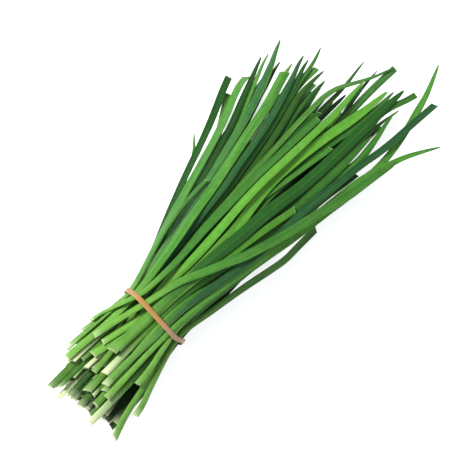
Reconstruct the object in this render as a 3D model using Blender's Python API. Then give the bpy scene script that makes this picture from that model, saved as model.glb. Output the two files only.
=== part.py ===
"""A bunch of garlic chives tied with a rubber band, lying on a surface.

The bunch lies along X, cut ends towards -X and tips towards +X. Z is up, and the origin is on the surface
under the band. Each leaf is a flat blade with a route across the bunch and a depth in it. Leaves that
share a place push each other apart, and then the top ones are lifted until they are clear of those below.
"""

import math
import random
from collections import namedtuple

import bmesh
import bpy
import numpy as np

MM = 0.001
SEED = 7

# Half widths and heights of the bunch along its length, in millimetres. Its upper outline is a dome over
# the outer edge, and its lower outline is a bowl that rises to the same edge.
ALONG = (-85, -50, -20, 0, 30, 60, 120, 180, 240, 290)
LEFT = (36, 32, 26, 23.5, 33, 45, 66, 84, 92, 92)
RIGHT = (42, 38, 29, 24.5, 30, 38, 45, 55, 64, 68)
TOP = (27, 28, 27, 27.5, 29, 31, 30, 24, 16, 10)
EDGE = (4, 6, 12, 17, 12, 8, 5, 4, 3, 3)

# The tie.
BAND_WIDTH = 3.7
BAND_THICKNESS = 1.2
BAND_GAP = 0.35
BAND_STEPS = 44
# Its section, as shares of half its width and half its thickness.
BAND_SECTION = (
    (-1, -0.55), (-1, 0.55), (-0.72, 1), (0.72, 1),
    (1, 0.55), (1, -0.55), (0.72, -1), (-0.72, -1),
)
BAND_SPAN = (-9.0, 5.0)
# Where the strand lies along the bunch: its mean, then the cosine and sine parts once and twice round.
BAND_SWAY = (-0.875, 1.0, -2.25, 1.375, 1.8)

# Leaves.
GAP = 0.5
SIDE_GAP = 0.55
LEAF_FLOOR = 0.02
STATION_STEP = 13.0
STATION_MARGIN = 0.35 * STATION_STEP
FILLER_SKIP = 2
THICKNESS_ALONG = (-60, 0, 40, 120, 280)
THICKNESS = (1.6, 1.3, 1.05, 0.9, 0.8)
STALK_ALONG = (-70, -25, 10, 60)
STALK_SHARE = (0.8, 0.5, 0.5, 1)
TIP_LENGTH = 55.0
TIP_SHARE = 0.16
STEEPEST = math.radians(56)
FLATTEST = math.radians(24)
STEEP_ALONG = (12, 70)
TWIST = math.radians(16)
TWIST_ALONG = (20, 80)
SLANT = 0.5

# How the leaves settle among each other.
ROUNDS = 400
PUSH = 0.25
STIFFNESS = 0.14
RECALL = 0.998
SQUEEZES = 12
NARROWEST = 0.55
WIDEST_SQUEEZE = 2.2

# Rings of leaves inside the tie.
RING_PITCH = 2.35
RING_SPACING = 5.5
NECK_HALF_WIDTH = 22.2
NECK_HALF_HEIGHT = 15.2
NECK_MARGIN = (1.4, 1.8)
RING_SIDES = 0.93
INNER_RING = 2
INNER_CEILING = 3.0
OUTER_CEILING = -2.5
TOP_PLAY = 2.0
SECOND_PLAY = 2.5
LOWER_PLAY = 9.0

# The core that the inner leaves grow through.
CORE_CENTRE = (-2.5, 0.0, 16.2)
CORE_HALF = (15.0, 23.0, 11.2)
CORE_DEPTH = 19.0
CORE_FLOOR = 2.0
CORE_SEGMENTS = 20
CORE_RINGS = 10

# The surfaces.
GREENS = {
    "mid": (0.055, 0.24, 0.03),
    "light": (0.13, 0.38, 0.05),
    "bright": (0.2, 0.48, 0.06),
    "blue": (0.03, 0.17, 0.06),
}
LEAF_ROUGHNESS = 0.42
RUBBER = (0.6, 0.3, 0.13)
RUBBER_ROUGHNESS = 0.55

Leaf = namedtuple("Leaf", "name depth width tip tone route")

# Each leaf that shows: how high it lies in the bunch from 0 to 1, its width, the form of its tip, its
# green, and its route as points along and across the bunch. All lengths are in millimetres.
TOP_LEAVES = (
    Leaf("top_leaf_01", 0.86, 5.2, "cut", "mid", (
        (-46, 25.5), (-20, 22.8), (0, 21.3), (10, 23.5), (25, 28.5), (50, 38), (75, 47.5), (100, 57.1),
        (125, 65.7), (150, 75.3), (170, 83.8), (183, 89.2))),
    Leaf("top_leaf_02", 0.90, 6.6, "cut", "light", (
        (-50, 26), (-25, 22.5), (0, 20.5), (10, 22.5), (20, 25.5), (30, 28.5), (40, 31.7), (60, 37.6),
        (90, 46), (125, 56.2), (150, 64.8), (170, 73), (189, 79))),
    Leaf("top_leaf_03", 0.93, 6.2, "point", "blue", (
        (-38, 26), (-20, 22), (0, 19), (10, 19.5), (20, 20.8), (30, 22.8), (50, 26.8), (75, 32.3),
        (100, 38.5), (125, 44.8), (150, 51.2), (175, 58.7), (200, 67.8), (218, 75.7), (232, 82.6))),
    Leaf("top_leaf_04", 0.94, 2.8, "cut", "light", (
        (-56, 24), (-25, 20), (0, 18), (25, 25), (45, 31), (60, 34.3), (75, 36.8), (98, 38.7))),
    Leaf("top_leaf_05", 0.95, 7.2, "cut", "mid", (
        (-62, 19.2), (-40, 17.3), (-20, 16), (0, 15.2), (10, 15.7), (25, 18), (50, 22), (75, 27.3),
        (100, 32), (125, 37.4), (150, 43), (175, 48.3), (190, 53), (208, 58.7))),
    Leaf("top_leaf_06", 0.935, 5.8, "point", "blue", (
        (-61, 15), (-45, 14.7), (-25, 13), (0, 15), (25, 17), (50, 19.7), (75, 22.7), (100, 25.4),
        (125, 30.1), (150, 34.9), (175, 41.3), (200, 48.7), (215, 53.7), (229, 59.5))),
    Leaf("top_leaf_07", 0.965, 5.4, "cut", "light", (
        (-31, 28), (-20, 22), (-12, 17.4), (-3, 13), (10, 10.9), (30, 10.6), (50, 11.9), (100, 13.2),
        (150, 13.8), (189, 14.1))),
    Leaf("top_leaf_08", 1.0, 6.2, "point", "mid", (
        (-40, 15), (-20, 10), (-5, 5.7), (10, 1.8), (25, -2.6), (40, -9.8), (50, -14), (60, -18.5),
        (70, -21.6), (85, -25.5), (100, -29), (125, -33.5), (150, -38), (175, -42), (200, -46.5))),
    Leaf("top_leaf_09", 0.97, 6.6, "point", "bright", (
        (-39, 9), (-25, 5.5), (-10, 2.5), (0, 3), (15, 5.5), (30, 4.6), (50, 4.3), (75, 5.5),
        (100, 7.1), (150, 7.9), (200, 8.5), (220, 10.4), (238, 12))),
    Leaf("top_leaf_10", 0.95, 8.2, "point", "mid", (
        (-41, -1), (-20, -2.5), (0, -3), (25, -4.5), (50, -6.8), (75, -9.4), (100, -10.7), (125, -12.9),
        (150, -14.1), (175, -14.4), (200, -13.8), (225, -13.2), (252, -13.5))),
    Leaf("top_leaf_11", 0.93, 5.8, "point", "light", (
        (-54, -6), (-30, -6.3), (0, -7.3), (25, -9.5), (50, -14.5), (75, -18), (100, -19.5),
        (125, -20.5), (150, -21.5), (175, -22), (204, -21.5))),
    Leaf("top_leaf_12", 0.955, 5.4, "cut", "blue", (
        (-60, -12.3), (-30, -13.2), (-10, -14.5), (0, -14.5), (25, -17), (50, -21.5), (75, -24.5),
        (100, -26), (125, -26.8), (150, -28.5), (175, -30.5), (200, -34), (225, -35.5), (257, -37))),
    Leaf("top_leaf_13", 0.92, 5.2, "point", "mid", (
        (-62, -14.5), (-30, -12), (0, -11), (25, -13.5), (50, -18.5), (75, -21.5), (100, -23),
        (150, -24.5), (170, -26), (183, -27), (200, -25), (229, -20))),
    Leaf("top_leaf_14", 0.94, 4.6, "point", "light", (
        (-65, -17.5), (-40, -17), (0, -17.5), (25, -19.5), (50, -23.5), (75, -27.2), (100, -30),
        (125, -33.8), (145, -34.5), (160, -35.8), (175, -38.2), (190, -42.3), (200, -44.5), (215, -50),
        (235, -59.7))),
    Leaf("top_leaf_15", 0.93, 5.0, "point", "light", (
        (-44, -25.2), (-25, -23), (0, -19), (25, -19.8), (50, -23.3), (75, -27.4), (100, -31.7),
        (125, -35), (150, -37.7), (175, -39.3), (200, -39), (225, -35.3), (240, -31.8), (255, -28.3),
        (270, -23.8), (289, -16))),
    Leaf("top_leaf_16", 0.945, 4.8, "cut", "bright", (
        (-36, -3.5), (-20, -4.5), (0, -5.5), (25, -7.3), (50, -11.5), (60, -13.3), (75, -15.3),
        (100, -19), (118, -22.6))),
)

SECOND_LEAVES = (
    Leaf("second_leaf_01", 0.885, 5.2, "point", "mid", (
        (-55, 12.7), (-30, 10.3), (0, 14.2), (50, 17.5), (75, 19.5), (100, 22.2), (125, 26.5),
        (150, 31.2), (175, 37.3), (200, 45), (215, 49.8), (229, 55))),
    Leaf("second_leaf_02", 0.78, 4.8, "cut", "olive", (
        (-58, -36.5), (-45, -32.8), (-25, -27), (0, -22), (25, -25.2), (50, -29.3), (70, -33),
        (90, -36.3), (105, -36.6), (122, -37))),
    Leaf("second_leaf_03", 0.86, 5.0, "point", "dark", (
        (-82, 13), (-50, 13.5), (-25, 13.5), (0, 14.5), (30, 21), (60, 31), (100, 43.5), (125, 50.8),
        (150, 58.7), (175, 68.5), (195, 76.3), (212, 84.3))),
    Leaf("second_leaf_04", 0.80, 4.6, "point", "mid", (
        (-67, 8.7), (-30, 10), (0, 12.5), (50, 26.5), (100, 41), (150, 56), (175, 65.3), (200, 74.8),
        (218, 82))),
    Leaf("second_leaf_05", 0.80, 4.8, "point", "light", (
        (-78, 11), (-60, 11.3), (0, 10.5), (50, 14.7), (100, 21.3), (150, 31), (190, 41.3), (207, 46),
        (226, 49), (236, 52), (245, 55.8))),
    Leaf("second_leaf_06", 0.745, 5.0, "cut", "light", (
        (-82, 7.2), (-40, 7), (0, 6), (60, 13), (120, 25), (180, 39), (205, 45), (228, 46))),
    Leaf("second_leaf_07", 0.85, 4.6, "point", "olive", (
        (-55, 3), (-40, 2.5), (0, 7.5), (60, 14), (110, 19.7), (150, 27), (175, 32.3), (195, 37.8),
        (212, 39.8), (228, 39.5))),
    Leaf("second_leaf_08", 0.72, 4.0, "point", "mid", (
        (-77, 3), (-60, 4), (0, 2), (60, 10), (110, 17.5), (150, 23.5), (175, 29), (200, 32.7),
        (217, 34.7))),
    Leaf("second_leaf_09", 0.89, 4.6, "point", "dark", (
        (-57, 0), (-30, 3), (0, 11.5), (50, 13.8), (100, 17.2), (150, 20.7), (175, 22.7), (200, 24),
        (216, 23.8), (225, 20.8), (235, 15.8), (246, 10.6), (264, 4))),
    Leaf("second_leaf_10", 0.86, 4.2, "cut", "mid", (
        (-50, -1), (-25, 1), (0, 7.5), (50, 11.5), (100, 14.5), (150, 17.5), (195, 18))),
    Leaf("second_leaf_11", 0.66, 3.4, "point", "dark", (
        (-77, -1.5), (-30, 0), (0, -1), (60, 7), (120, 14.5), (180, 19.5), (228, 21), (257, 25))),
    Leaf("second_leaf_12", 0.915, 6.8, "point", "bright", (
        (-49, 9), (-35, 5), (-20, 1.5), (0, 0.5), (25, 0.5), (60, -2.5), (80, -2), (100, 1), (125, 3.3),
        (150, 2.7), (175, 0.6), (200, -2.5), (220, -4.6), (243, -5.6))),
    Leaf("second_leaf_13", 0.86, 5.6, "point", "mid", (
        (-69, -5), (-30, -5), (0, -4.5), (50, -6), (100, -2.5), (150, -1.5), (175, -4), (200, -7.5),
        (225, -8.8), (247, -8.5))),
    Leaf("second_leaf_14", 0.875, 3.6, "cut", "light", (
        (-58, 6), (-25, 3), (0, 4), (50, 2), (90, 2), (125, -1.5), (150, -4.7), (175, -8))),
    Leaf("second_leaf_15", 0.70, 5.2, "cut", "blue", (
        (-78, -8), (-30, -5), (0, -3), (60, 2), (120, -1), (180, 0.8), (205, 2.6), (240, 4.6),
        (266, 4.4))),
    Leaf("second_leaf_16", 0.64, 3.4, "point", "dark", (
        (-75, -11), (-30, -8), (0, -7), (60, -3), (120, -3), (200, 4.2), (225, 9.5), (242, 11.5),
        (256, 12.8))),
    Leaf("second_leaf_17", 0.83, 3.4, "point", "olive", (
        (-68, -9), (-30, -9), (0, -9), (60, -15), (120, -18.5), (180, -17), (217, -18), (237, -21))),
    Leaf("second_leaf_18", 0.87, 5.0, "cut", "olive", (
        (-72, -15), (-30, -13), (0, -12), (50, -13), (100, -14), (150, -16), (200, -17), (225, -14.5),
        (237, -16.8), (256, -23))),
    Leaf("second_leaf_19", 0.80, 4.0, "cut", "dark", (
        (-79, -17), (-30, -16), (0, -15), (50, -20.5), (100, -25.5), (140, -28), (155, -29.8),
        (173, -32.5))),
    Leaf("second_leaf_20", 0.87, 4.6, "point", "light", (
        (-83, -20.4), (-60, -20.6), (-30, -20.3), (0, -18), (50, -23.5), (100, -29.3), (150, -34.2),
        (190, -38.3))),
    Leaf("second_leaf_21", 0.66, 4.4, "point", "mid", (
        (-78, -36), (-65, -32), (-40, -27.3), (0, -19.5), (25, -20), (50, -22.3), (100, -30),
        (150, -37), (192, -43.5))),
    Leaf("second_leaf_22", 0.68, 4.0, "point", "light", (
        (-62, 18), (-30, 18), (0, 17.5), (50, 36.5), (100, 57.5), (120, 67.5), (131, 77.5))),
    Leaf("second_leaf_23", 0.62, 5.0, "cut", "olive", (
        (-55, 17), (-30, 17.5), (0, 18), (50, 34), (100, 49.5), (140, 63), (158, 73), (173, 83.5))),
    Leaf("second_leaf_24", 0.78, 4.6, "point", "dark", (
        (-70, 9), (-30, 9), (0, 12), (60, 28), (120, 42.5), (160, 53), (180, 59.5), (200, 65),
        (216, 70))),
    Leaf("second_leaf_25", 0.76, 5.0, "point", "light", (
        (-60, -4), (-30, 0), (0, 6), (60, 20), (120, 34), (160, 46), (190, 54), (207, 58.5),
        (220, 61.5))),
)

LOWER_GREENS = ("mid", "dark", "blue", "mid", "light", "dark")
LOWER_WIDTHS = (4.8, 6.0)
# Where these leaves go: the half widths that they fill along the bunch, then how far their tips and cut
# ends reach from the right edge to the left one.
FILL_LEFT = (20, 27, 23, 21.5, 29, 39.5, 59, 76, 84, 86)
FILL_RIGHT = (31, 34, 27, 22.5, 23, 24, 25, 26, 26, 26)
SHARES = (-1.0, -0.5, 0.0, 0.5, 1.0)
TIP_REACH = (205, 226, 234, 226, 204)
TIP_SPREAD = 30
CUT_REACH = (-72, -78, -76, -74, -58)
CUT_SPREAD = 20
# How they stray from their place in the tie, as shares of the half width.
TIP_HOLD = 0.72
TIP_STRAY = 0.42
MIDDLE_HOLD = 0.35
MIDDLE_STRAY = 0.06
CUT_STRAY = 0.22
SHARE_LIMITS = (-0.93, 0.9)


def table(x, along, values):
    """One outline value of the bunch at x."""
    return np.interp(x, along, values)


def side_reach(x, share):
    """The place across the bunch of a share from -1, the right edge, to 1, the left edge."""
    return share * table(x, ALONG, FILL_LEFT if share > 0 else FILL_RIGHT)


def outline_height(x, y, depth):
    """The height in the bunch at depth 0 to 1, between its lower and upper outline."""
    half = np.where(y > 0, table(x, ALONG, LEFT), table(x, ALONG, RIGHT))
    edge = table(x, ALONG, EDGE)
    crown = np.sqrt(1 - np.clip(np.abs(y) / half, 0, 0.985) ** 2)
    low = edge * (1 - crown)
    high = edge + (table(x, ALONG, TOP) - edge) * crown
    return low + depth * (high - low)


def flow(points, x):
    """A smooth curve through the route's points, with its slope, at each x."""
    px, py = (np.array(v, float) for v in zip(*points))
    chord = np.diff(py) / np.diff(px)
    slope = np.concatenate([chord[:1], (chord[1:] + chord[:-1]) / 2, chord[-1:]])
    k = np.clip(np.searchsorted(px, x, side="right") - 1, 0, len(px) - 2)
    length = px[k + 1] - px[k]
    t = np.clip((x - px[k]) / length, 0, 1)
    rise = (py[k] * (1 + 2 * t) * (1 - t) ** 2 + py[k + 1] * t ** 2 * (3 - 2 * t)
            + length * (slope[k] * t * (1 - t) ** 2 - slope[k + 1] * t ** 2 * (1 - t)))
    return rise, np.gradient(rise, x)


def neck_rings():
    """The places of the leaves inside the tie, ring by ring: ring, across, height."""
    slots = []
    ring = 0
    while NECK_HALF_HEIGHT - ring * RING_PITCH > 1:
        wide = NECK_HALF_WIDTH - ring * RING_PITCH
        tall = NECK_HALF_HEIGHT - ring * RING_PITCH
        around = math.pi * (3 * (wide + tall) - math.sqrt((3 * wide + tall) * (wide + 3 * tall)))
        count = int(around / RING_SPACING)
        for k in range(count):
            turn = 2 * math.pi * (k + 0.5 * (ring % 2)) / count
            if ring and abs(math.cos(turn)) > RING_SIDES:
                continue
            slots.append((ring, wide * math.cos(turn), tall * math.sin(turn)))
        ring += 1
    return slots


def filler_route(rng, across, depth):
    """A leaf that the photo doesn't single out: from its place in the tie, outwards both ways."""
    share = across / (NECK_HALF_WIDTH + NECK_MARGIN[0])
    tip_share = float(np.clip(share * TIP_HOLD + rng.uniform(-TIP_STRAY, TIP_STRAY), *SHARE_LIMITS))
    middle_share = (share * MIDDLE_HOLD + tip_share * (1 - MIDDLE_HOLD)
                    + rng.uniform(-MIDDLE_STRAY, MIDDLE_STRAY))
    cut_share = float(np.clip(share + rng.uniform(-CUT_STRAY, CUT_STRAY), *SHARE_LIMITS))
    tip = table(tip_share, SHARES, TIP_REACH) - rng.uniform(0, TIP_SPREAD)
    cut = table(cut_share, SHARES, CUT_REACH) + CUT_SPREAD * (0.65 * depth + rng.uniform(0, 0.35))
    stops = ((cut, cut_share), (cut / 2, (share + cut_share) / 2), (0, share), (tip * 0.2, share),
             (tip * 0.55, middle_share), (tip, tip_share))
    return tuple((float(x), float(side_reach(x, s))) for x, s in stops)


def lower_leaves(rng):
    """The leaves inside and on the underside, one for each place in the tie that is still free."""
    leaves = []
    for ring, across, height in neck_rings():
        if height > (INNER_CEILING if ring >= INNER_RING else OUTER_CEILING):
            continue
        share = across / (NECK_HALF_WIDTH + NECK_MARGIN[0])
        half_height = (NECK_HALF_HEIGHT + NECK_MARGIN[1]) * math.sqrt(1 - share ** 2)
        depth = 0.5 + height / (2 * half_height)
        leaves.append(Leaf("", depth, rng.uniform(*LOWER_WIDTHS), rng.choice(("point", "point", "cut")),
                           rng.choice(LOWER_GREENS), filler_route(rng, across, depth)))
    return leaves


class Bunch:
    """All the leaves as arrays, with a row for each station along the bunch and a column for each leaf."""

    def __init__(self, leaves, side_play, rng):
        self.leaves = leaves
        self.x = np.arange(-91, 300, STATION_STEP)[:, None]
        self.start = np.array([leaf.route[0][0] for leaf in leaves], float)
        self.end = np.array([leaf.route[-1][0] for leaf in leaves], float)
        self.depth = np.array([leaf.depth for leaf in leaves])
        self.side_play = side_play
        within = np.clip(self.x, self.start, self.end)
        flows = [flow(leaf.route, np.linspace(start, end, 161))
                 for leaf, start, end in zip(leaves, self.start, self.end)]
        grids = [np.linspace(start, end, 161) for start, end in zip(self.start, self.end)]
        columns = range(len(leaves))
        self.home_y = np.stack([np.interp(within[:, k], grids[k], flows[k][0]) for k in columns], 1)
        slope = np.stack([np.interp(within[:, k], grids[k], flows[k][1]) for k in columns], 1)
        self.active = (self.x > self.start - STATION_STEP) & (self.x < self.end + STATION_STEP)
        width = np.array([leaf.width for leaf in leaves])
        pointed = np.array([leaf.tip == "point" for leaf in leaves])
        taper = np.clip((self.end - self.x) / TIP_LENGTH, 0, 1) ** 0.75
        taper = np.where(pointed, TIP_SHARE + (1 - TIP_SHARE) * taper, 1.0)
        self.half = width / 2 * np.interp(self.x, STALK_ALONG, STALK_SHARE) * taper * np.hypot(1, slope)
        self.thick = np.repeat(table(self.x, THICKNESS_ALONG, THICKNESS), len(leaves), axis=1)
        self.home_z = outline_height(self.x, self.home_y, self.depth) - self.thick * (self.depth - 0.5)
        lean = (outline_height(self.x, self.home_y + 1, self.depth)
                - outline_height(self.x, self.home_y - 1, self.depth)) / 2
        steepest = np.interp(np.abs(self.x), STEEP_ALONG, (STEEPEST, FLATTEST))
        twist = np.array([rng.uniform(-TWIST, TWIST) for _ in leaves])
        self.roll = (np.clip(np.arctan(lean), -steepest, steepest)
                     + twist * np.interp(np.abs(self.x), TWIST_ALONG, (0, 1)))
        self.cuts = [(rng.uniform(-SLANT, SLANT), rng.uniform(-SLANT, SLANT) if leaf.tip == "cut" else 0)
                     for leaf in leaves]
        self.move_y = np.zeros_like(self.home_y)
        self.move_z = np.zeros_like(self.home_y)
        self.measure()
        tied = (self.x > BAND_SPAN[0] - STATION_STEP) & (self.x < BAND_SPAN[1] + STATION_STEP)
        self.floor = np.where(tied, BAND_THICKNESS + BAND_GAP, LEAF_FLOOR)

    def measure(self):
        """What each section takes up: to the side, in slope, above its middle plane and below it."""
        self.reach = self.half * np.cos(self.roll) + self.thick / 2 * np.abs(np.sin(self.roll))
        self.rise = np.tan(self.roll)
        self.lift = self.thick / 2 / np.cos(self.roll)
        self.hang = self.half * np.abs(np.sin(self.roll)) + self.thick / 2 * np.cos(self.roll)

    def places(self):
        """Where each leaf lies now, across and up."""
        return self.home_y + self.move_y, self.home_z + self.move_z

    def overlaps(self, above, both):
        """How far each leaf is short of its clearance from each other leaf, and what they share."""
        y, z = self.places()
        aside = y[:, :, None] - y[:, None, :]
        shared = self.reach[:, :, None] + self.reach[:, None, :] + SIDE_GAP - np.abs(aside)
        low = np.maximum((y - self.reach)[:, :, None], (y - self.reach)[:, None, :])
        high = np.minimum((y + self.reach)[:, :, None], (y + self.reach)[:, None, :])
        meet = shared > 0
        crossing = meet.copy()
        swap = np.sign(aside[1:]) != np.sign(aside[:-1])
        crossing[1:] |= swap
        crossing[:-1] |= swap
        middle = (low + high) / 2
        deficit = np.zeros_like(shared)
        for edge in (middle, np.where(meet, low, middle), np.where(meet, high, middle)):
            face = z[:, :, None] + self.rise[:, :, None] * (edge - y[:, :, None])
            other = z[:, None, :] + self.rise[:, None, :] * (edge - y[:, None, :])
            room = above * (face - other) - self.lift[:, :, None] - self.lift[:, None, :] - GAP
            deficit = np.maximum(deficit, -room)
        return np.where(both & crossing, deficit, 0), shared, aside

    def settle(self):
        """Pushes leaves that share a place apart, and keeps each one smooth along its length."""
        order = np.argsort(np.argsort(self.depth, kind="stable"), kind="stable")
        above = np.sign(order[:, None] - order[None, :])[None]
        both = self.active[:, :, None] & self.active[:, None, :] & (above != 0)
        for _ in range(ROUNDS):
            deficit, shared, aside = self.overlaps(above, both)
            sideways = shared < 0.9 * deficit
            push_y = np.sign(aside) * np.where(sideways & (deficit > 0), np.clip(shared, 0, 2), 0)
            push_z = above * np.where(sideways, 0.15, 1) * np.minimum(deficit, 2)
            self.move_y += PUSH * np.clip(push_y.sum(axis=2), -2, 2)
            self.move_z += PUSH * np.clip(push_z.sum(axis=2), -3, 3)
            for move in (self.move_y, self.move_z):
                padded = np.concatenate([move[:1], move, move[-1:]])
                move += STIFFNESS * (0.5 * (padded[:-2] + padded[2:]) - move)
                move *= RECALL
            self.move_y = np.clip(self.move_y, -self.side_play, self.side_play)
            self.move_z = np.maximum(self.move_z, self.floor + self.hang - self.home_z)

    def straighten(self, leaf, skip):
        """Gives a leaf the straight runs that it has between sections further apart than the stations."""
        x, *values = self.nodes(leaf, skip)
        beyond = np.array([x[0] - STATION_STEP, *x, x[-1] + STATION_STEP])
        for rows, kept in zip((self.home_y, self.home_z, self.half, self.thick, self.roll), values):
            first = kept[0] + (kept[0] - kept[1]) * STATION_STEP / (x[1] - x[0])
            last = kept[-1] + (kept[-1] - kept[-2]) * STATION_STEP / (x[-1] - x[-2])
            rows[:, leaf] = np.interp(self.x[:, 0], beyond, [first, *kept, last])
        self.move_y[:, leaf] = 0
        self.move_z[:, leaf] = 0

    def squeeze(self, above, both, count):
        """Narrows the first count leaves and their neighbours where only their edges share a place."""
        narrowest = NARROWEST * self.half
        for _ in range(SQUEEZES):
            deficit, shared, _ = self.overlaps(above, both)
            brushing = (shared > 0) & (shared < WIDEST_SQUEEZE) & (deficit > 0.5 * shared)
            edges = np.where(brushing, shared, 0)
            edges[:, count:, count:] = 0
            self.half = np.maximum(narrowest, self.half - 0.3 * edges.max(axis=2))
            self.measure()

    def clear(self, count):
        """Lifts the first count leaves, lowest first, until each is clear of all that it lies over."""
        order = np.argsort(np.argsort(self.depth, kind="stable"), kind="stable")
        order[:count] += len(order)
        above = np.sign(order[:, None] - order[None, :])[None]
        both = self.active[:, :, None] & self.active[:, None, :] & (above != 0)
        self.squeeze(above, both, count)
        both = both & (above > 0)
        for leaf in sorted(range(count), key=lambda k: order[k]):
            deficit = self.overlaps(above, both)[0][:, leaf].max(axis=1)
            y, z = self.places()
            aside = self.reach[:, [leaf]] * np.linspace(-1, 1, 5)
            across = y[:, [leaf]] + aside
            under = z[:, [leaf]] + self.rise[:, [leaf]] * aside - self.lift[:, [leaf]] - GAP
            deficit = np.maximum(deficit, (core_top(self.x, across) - under).max(axis=1))
            spread = np.concatenate([deficit[:1], deficit[:1], deficit, deficit[-1:], deficit[-1:]])
            spread = np.stack([spread[k:k + len(deficit)] for k in range(5)]).max(axis=0)
            padded = np.concatenate([spread[:1], spread, spread[-1:]])
            self.move_z[:, leaf] += 0.25 * padded[:-2] + 0.5 * padded[1:-1] + 0.25 * padded[2:]

    def nodes(self, leaf, skip):
        """The stations that shape one leaf, with its two ends."""
        start, end = self.start[leaf], self.end[leaf]
        stations = self.x[:, 0]
        inner = [x for x in stations[::skip] if start + STATION_MARGIN < x < end - STATION_MARGIN]
        x = np.array([start, *inner, end])
        values = [np.interp(x, stations, v[:, leaf])
                  for v in (*self.places(), self.half, self.thick, self.roll)]
        return (x, *values)


def core_top(x, y):
    """The height of the core's upper face, or a depth far below where there is none."""
    share = ((x - CORE_CENTRE[0]) / CORE_HALF[0]) ** 2 + ((y - CORE_CENTRE[1]) / CORE_HALF[1]) ** 2
    return np.where(share < 1, CORE_CENTRE[2] + CORE_HALF[2] * np.sqrt(np.clip(1 - share, 0, 1)), -1e3)


def lay_leaves():
    """Every leaf in its place, as one bunch."""
    rng = random.Random(SEED)
    lower = lower_leaves(rng)
    leaves = list(TOP_LEAVES) + list(SECOND_LEAVES) + lower
    counts = (len(TOP_LEAVES), len(SECOND_LEAVES), len(lower))
    side_play = np.repeat((TOP_PLAY, SECOND_PLAY, LOWER_PLAY), counts)
    bunch = Bunch(leaves, side_play, rng)
    bunch.settle()
    for leaf in range(len(TOP_LEAVES) + len(SECOND_LEAVES), len(leaves)):
        bunch.straighten(leaf, FILLER_SKIP)
    bunch.measure()
    bunch.clear(len(TOP_LEAVES))
    return bunch


def make_material(name, colour, roughness):
    """A plain surface with one colour."""
    material = bpy.data.materials.new(name)
    material.use_nodes = True
    surface = material.node_tree.nodes["Principled BSDF"]
    surface.inputs["Base Color"].default_value = (*colour, 1)
    surface.inputs["Roughness"].default_value = roughness
    surface.inputs["Metallic"].default_value = 0.0
    material.diffuse_color = (*colour, 1)
    return material


def leaf_corners(bunch, leaf, skip):
    """The four corners of each of a leaf's sections, with slanting cuts at its ends."""
    x, y, z, half, thick, roll = bunch.nodes(leaf, skip)
    slant = np.zeros_like(x)
    slant[0], slant[-1] = bunch.cuts[leaf]
    wide = half[:, None] * np.array([-1, 1, 1, -1])
    tall = thick[:, None] / 2 * np.array([-1, -1, 1, 1])
    cos, sin = np.cos(roll)[:, None], np.sin(roll)[:, None]
    return np.stack([x[:, None] + slant[:, None] * wide, y[:, None] + wide * cos - tall * sin,
                     z[:, None] + wide * sin + tall * cos], axis=2)


def node_skip(bunch, leaf):
    """How many stations apart a leaf's sections are."""
    return 1 if bunch.leaves[leaf].name else FILLER_SKIP


def make_leaf(name, bunch, leaf, material, collection):
    """A leaf: its sections joined by quads, and closed at both ends."""
    corners = leaf_corners(bunch, leaf, node_skip(bunch, leaf)).reshape(-1, 3) * MM
    last = len(corners) - 4
    faces = [(3, 2, 1, 0), (last, last + 1, last + 2, last + 3)]
    for k in range(0, last, 4):
        faces += [(k + a, k + b, k + b + 4, k + a + 4) for a, b in ((0, 1), (1, 2), (2, 3), (3, 0))]
    mesh = bpy.data.meshes.new(name)
    mesh.from_pydata([tuple(corner) for corner in corners], [], faces)
    triangulate(mesh)
    mesh.materials.append(material)
    obj = bpy.data.objects.new(name, mesh)
    collection.objects.link(obj)


def triangulate(mesh):
    """Splits the quads, so that a twisted one is the same surface everywhere."""
    shape = bmesh.new()
    shape.from_mesh(mesh)
    bmesh.ops.triangulate(shape, faces=shape.faces[:])
    bmesh.ops.recalc_face_normals(shape, faces=shape.faces[:])
    shape.to_mesh(mesh)
    shape.free()


def make_packed_leaves(bunch, first, material, collection):
    """The leaves packed below the top ones, grown together with a core in the middle of the tie."""
    repeats = bpy.data.collections.new("packed blades")
    bpy.context.scene.collection.children.link(repeats)
    for leaf in range(first, len(bunch.leaves)):
        make_leaf(f"packed_blade_{leaf:02d}", bunch, leaf, material, repeats)
    bpy.ops.mesh.primitive_uv_sphere_add(segments=CORE_SEGMENTS, ring_count=CORE_RINGS, radius=1)
    core = bpy.context.object
    core.name = "packed_leaves"
    core.data.name = "packed_leaves"
    for vertex in core.data.vertices:
        half = (*CORE_HALF[:2], CORE_HALF[2] if vertex.co.z > 0 else CORE_DEPTH)
        x, y, z = (CORE_CENTRE[axis] + vertex.co[axis] * half[axis] for axis in range(3))
        vertex.co = (x * MM, y * MM, max(z, CORE_FLOOR) * MM)
    core.data.materials.append(material)
    for home in list(core.users_collection):
        home.objects.unlink(core)
    collection.objects.link(core)
    union = core.modifiers.new("grown together", "BOOLEAN")
    union.operation = "UNION"
    union.operand_type = "COLLECTION"
    union.collection = repeats
    union.solver = "MANIFOLD"
    bpy.context.view_layer.objects.active = core
    bpy.ops.object.modifier_apply(modifier=union.name)
    for obj in list(repeats.objects):
        bpy.data.objects.remove(obj)
    bpy.data.collections.remove(repeats)
    return core


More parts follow.
